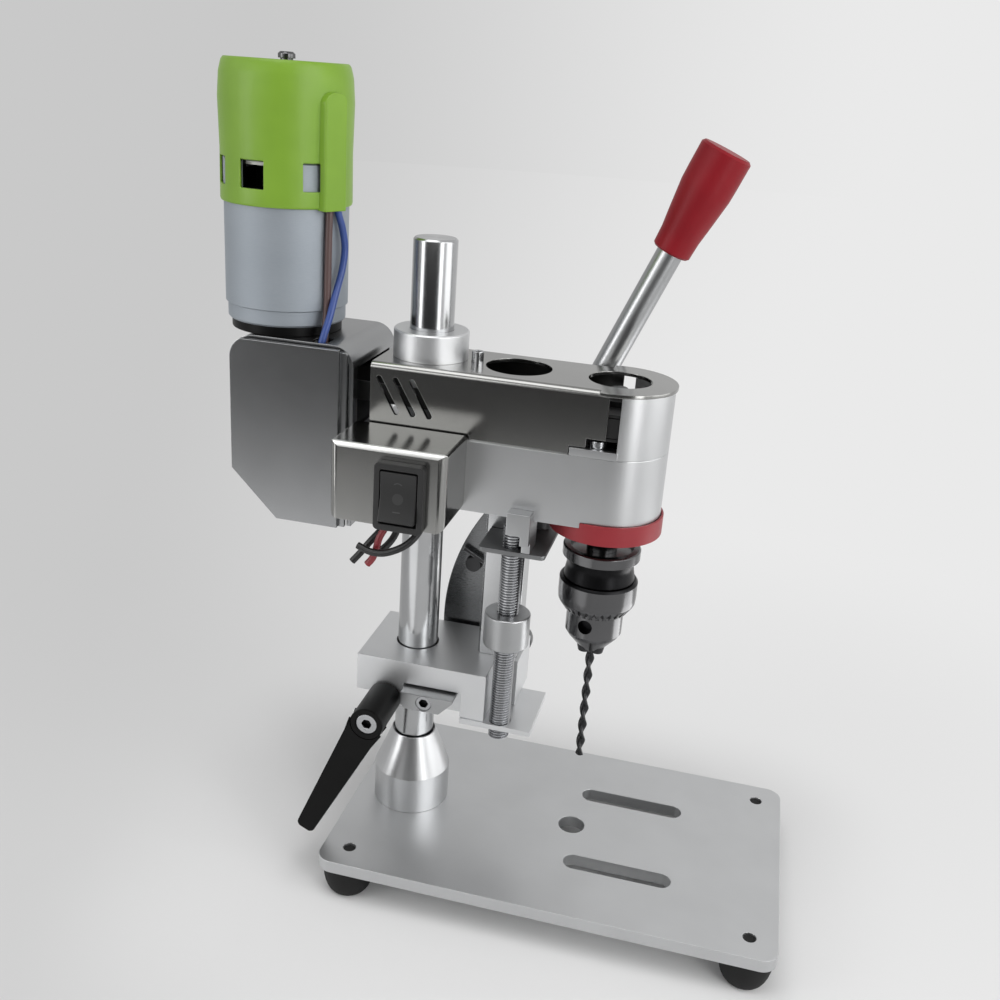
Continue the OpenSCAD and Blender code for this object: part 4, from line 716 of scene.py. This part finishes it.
# how far a point lies outside the plate: under it the floor only has the light that falls on it
SHADE_MIDDLE, SHADE_HALF = (0.0075, -0.0075, 0), (0.1075, 0.0675, 0)
spot = add(tree, "VectorMath", {0: place.outputs["Object"], 1: SHADE_MIDDLE}, operation="SUBTRACT")
spot = add(tree, "VectorMath", {0: spot.outputs["Vector"]}, operation="ABSOLUTE")
spot = add(tree, "VectorMath", {0: spot.outputs["Vector"], 1: SHADE_HALF}, operation="SUBTRACT")
spot = add(tree, "VectorMath", {0: spot.outputs["Vector"], 1: (0, 0, 0)}, operation="MAXIMUM")
far = add(tree, "VectorMath", {0: spot.outputs["Vector"]}, operation="LENGTH")
# outside it the room's own tone takes over, quickly at first and then slowly
near = add(tree, "MapRange", {"Value": far.outputs["Value"], "From Min": 0.0, "From Max": 0.09, "To Min": 0.0,
                              "To Max": 0.65}, interpolation_type="SMOOTHSTEP")
fade = add(tree, "MapRange", {"Value": far.outputs["Value"], "From Min": 0.05, "From Max": 0.4, "To Min": 0.0,
                              "To Max": 0.35}, interpolation_type="SMOOTHSTEP")
fade = add(tree, "Math", {0: near.outputs["Result"], 1: fade.outputs["Result"]}, operation="ADD")
# the floor's glow takes the room's tone, with its painted shade on the left
tone = tone_across(tree, place.outputs["Object"], 0.5)
glow = add(tree, "Emission", {"Color": tone, "Strength": 1.0})
mixed = add(tree, "MixShader", {0: fade.outputs["Value"], 1: shader.outputs["BSDF"], 2: glow.outputs["Emission"]})
tree.links.new(mixed.outputs["Shader"], surface(tree))
floor.data.materials.append(material)

world = bpy.data.worlds.new("studio")
bpy.context.scene.world = world
world.use_nodes = True
tree = world.node_tree
tree.nodes.clear()
rays = add(tree, "LightPath")
seen = add(tree, "Math", {0: rays.outputs["Is Camera Ray"], 1: rays.outputs["Is Glossy Ray"]}, operation="MAXIMUM")
seen = add(tree, "Math", {0: seen.outputs["Value"], 1: rays.outputs["Is Transmission Ray"]}, operation="MAXIMUM")
plain = add(tree, "Background", {"Color": linear("ffffff"), "Strength": 0.32})
way = add(tree, "TexCoord").outputs["Generated"]
# in reflections, the room behind the photographer is unlit
BEHIND_CAMERA = (0.375, -0.927, 0)
facing = add(tree, "VectorMath", {0: way, 1: BEHIND_CAMERA}, operation="DOT_PRODUCT")
unlit = add(tree, "MapRange", {"Value": facing.outputs["Value"], "From Min": 0.76, "From Max": 0.9, "To Min": 1.0,
                               "To Max": 0.12}, interpolation_type="SMOOTHSTEP")
lit = add(tree, "Math", {0: unlit.outputs["Result"], 1: rays.outputs["Is Camera Ray"]}, operation="MAXIMUM")
pale = add(tree, "Background", {"Color": tone_across(tree, way, 0.0), "Strength": lit.outputs["Value"]})
mixed = add(tree, "MixShader", {0: seen.outputs["Value"], 1: plain.outputs["Background"],
                                2: pale.outputs["Background"]})
add(tree, "OutputWorld", {"Surface": mixed.outputs["Shader"]})


def lamp(name, power, size, spot, aim=(0, 0, 0.15)):
    """A soft rectangular lamp at a spot, in metres, turned to a point."""
    data = bpy.data.lights.new(name, "AREA")
    data.energy = power
    data.shape = "RECTANGLE"
    data.size, data.size_y = size
    piece = bpy.data.objects.new(name, data)
    bpy.context.scene.collection.objects.link(piece)
    piece.location = spot
    piece.rotation_euler = (Vector(aim) - Vector(spot)).to_track_quat("-Z", "Y").to_euler()
    return piece


lamp("key", 8, (0.9, 0.9), (1.05, -0.45, 0.85))
lamp("fill", 2, (0.9, 1.2), (-1.2, -0.5, 0.8))
lamp("top", 6, (1.0, 0.8), (-0.2, -0.35, 1.4))
for name, angle, distance in (("strip_right", -42, 0.75), ("strip_left", -140, 0.8)):
    a = math.radians(angle)
    lamp(name, 1.2, (0.2, 0.5), (distance * math.cos(a), distance * math.sin(a), 0.26))
# two wide soft boxes that only polished metal shows
for name, power, size, spot in (("wide_right", 2.7, (0.8, 0.62), (0.945, 0.1, 0.32)),
                                ("high_left", 3.0, (0.9, 0.55), (-0.66, -1.25, 0.72))):
    lamp(name, power, size, spot).visible_diffuse = False

# %% [markdown]
# Polished metal shows what is round it, and a pale room gives it no contrast. A studio puts a dark
# card in front, out of view, so that the near faces look like metal, and two small pale ones that
# put bright lines on the chuck. Only reflections see these cards.

# %% Cards
def reflected_only(card, name, tone, strength):
    """Makes a plane glow and hides it from everything but reflections."""
    for ray in ("camera", "diffuse", "transmission", "shadow", "volume_scatter"):
        setattr(card, "visible_" + ray, False)
    material, tree, shader = begin(name)
    glow = add(tree, "Emission", {"Color": linear(tone), "Strength": strength})
    tree.links.new(glow.outputs["Emission"], surface(tree))
    card.data.materials.append(material)


CARDS = (
    ("dark_card", (2.8, 1.64), (-0.2, -1.425, 0.002), "303030", 1.0),
    ("low_card_right", (0.16, 0.18), (0.27, 0.11, 0.001), "ffffff", 4.0),
    ("low_card_left", (0.34, 0.22), (-0.25, -0.3, 0.001), "ffffff", 1.5),
)
for name, size, spot, tone, strength in CARDS:
    card = flat_square(spot)
    card.name = name
    card.scale = (*size, 1)
    bpy.ops.object.transform_apply(location=True, rotation=True, scale=True)
    reflected_only(card, name, tone, strength)

scene = bpy.context.scene
scene.view_settings.view_transform = "Standard"
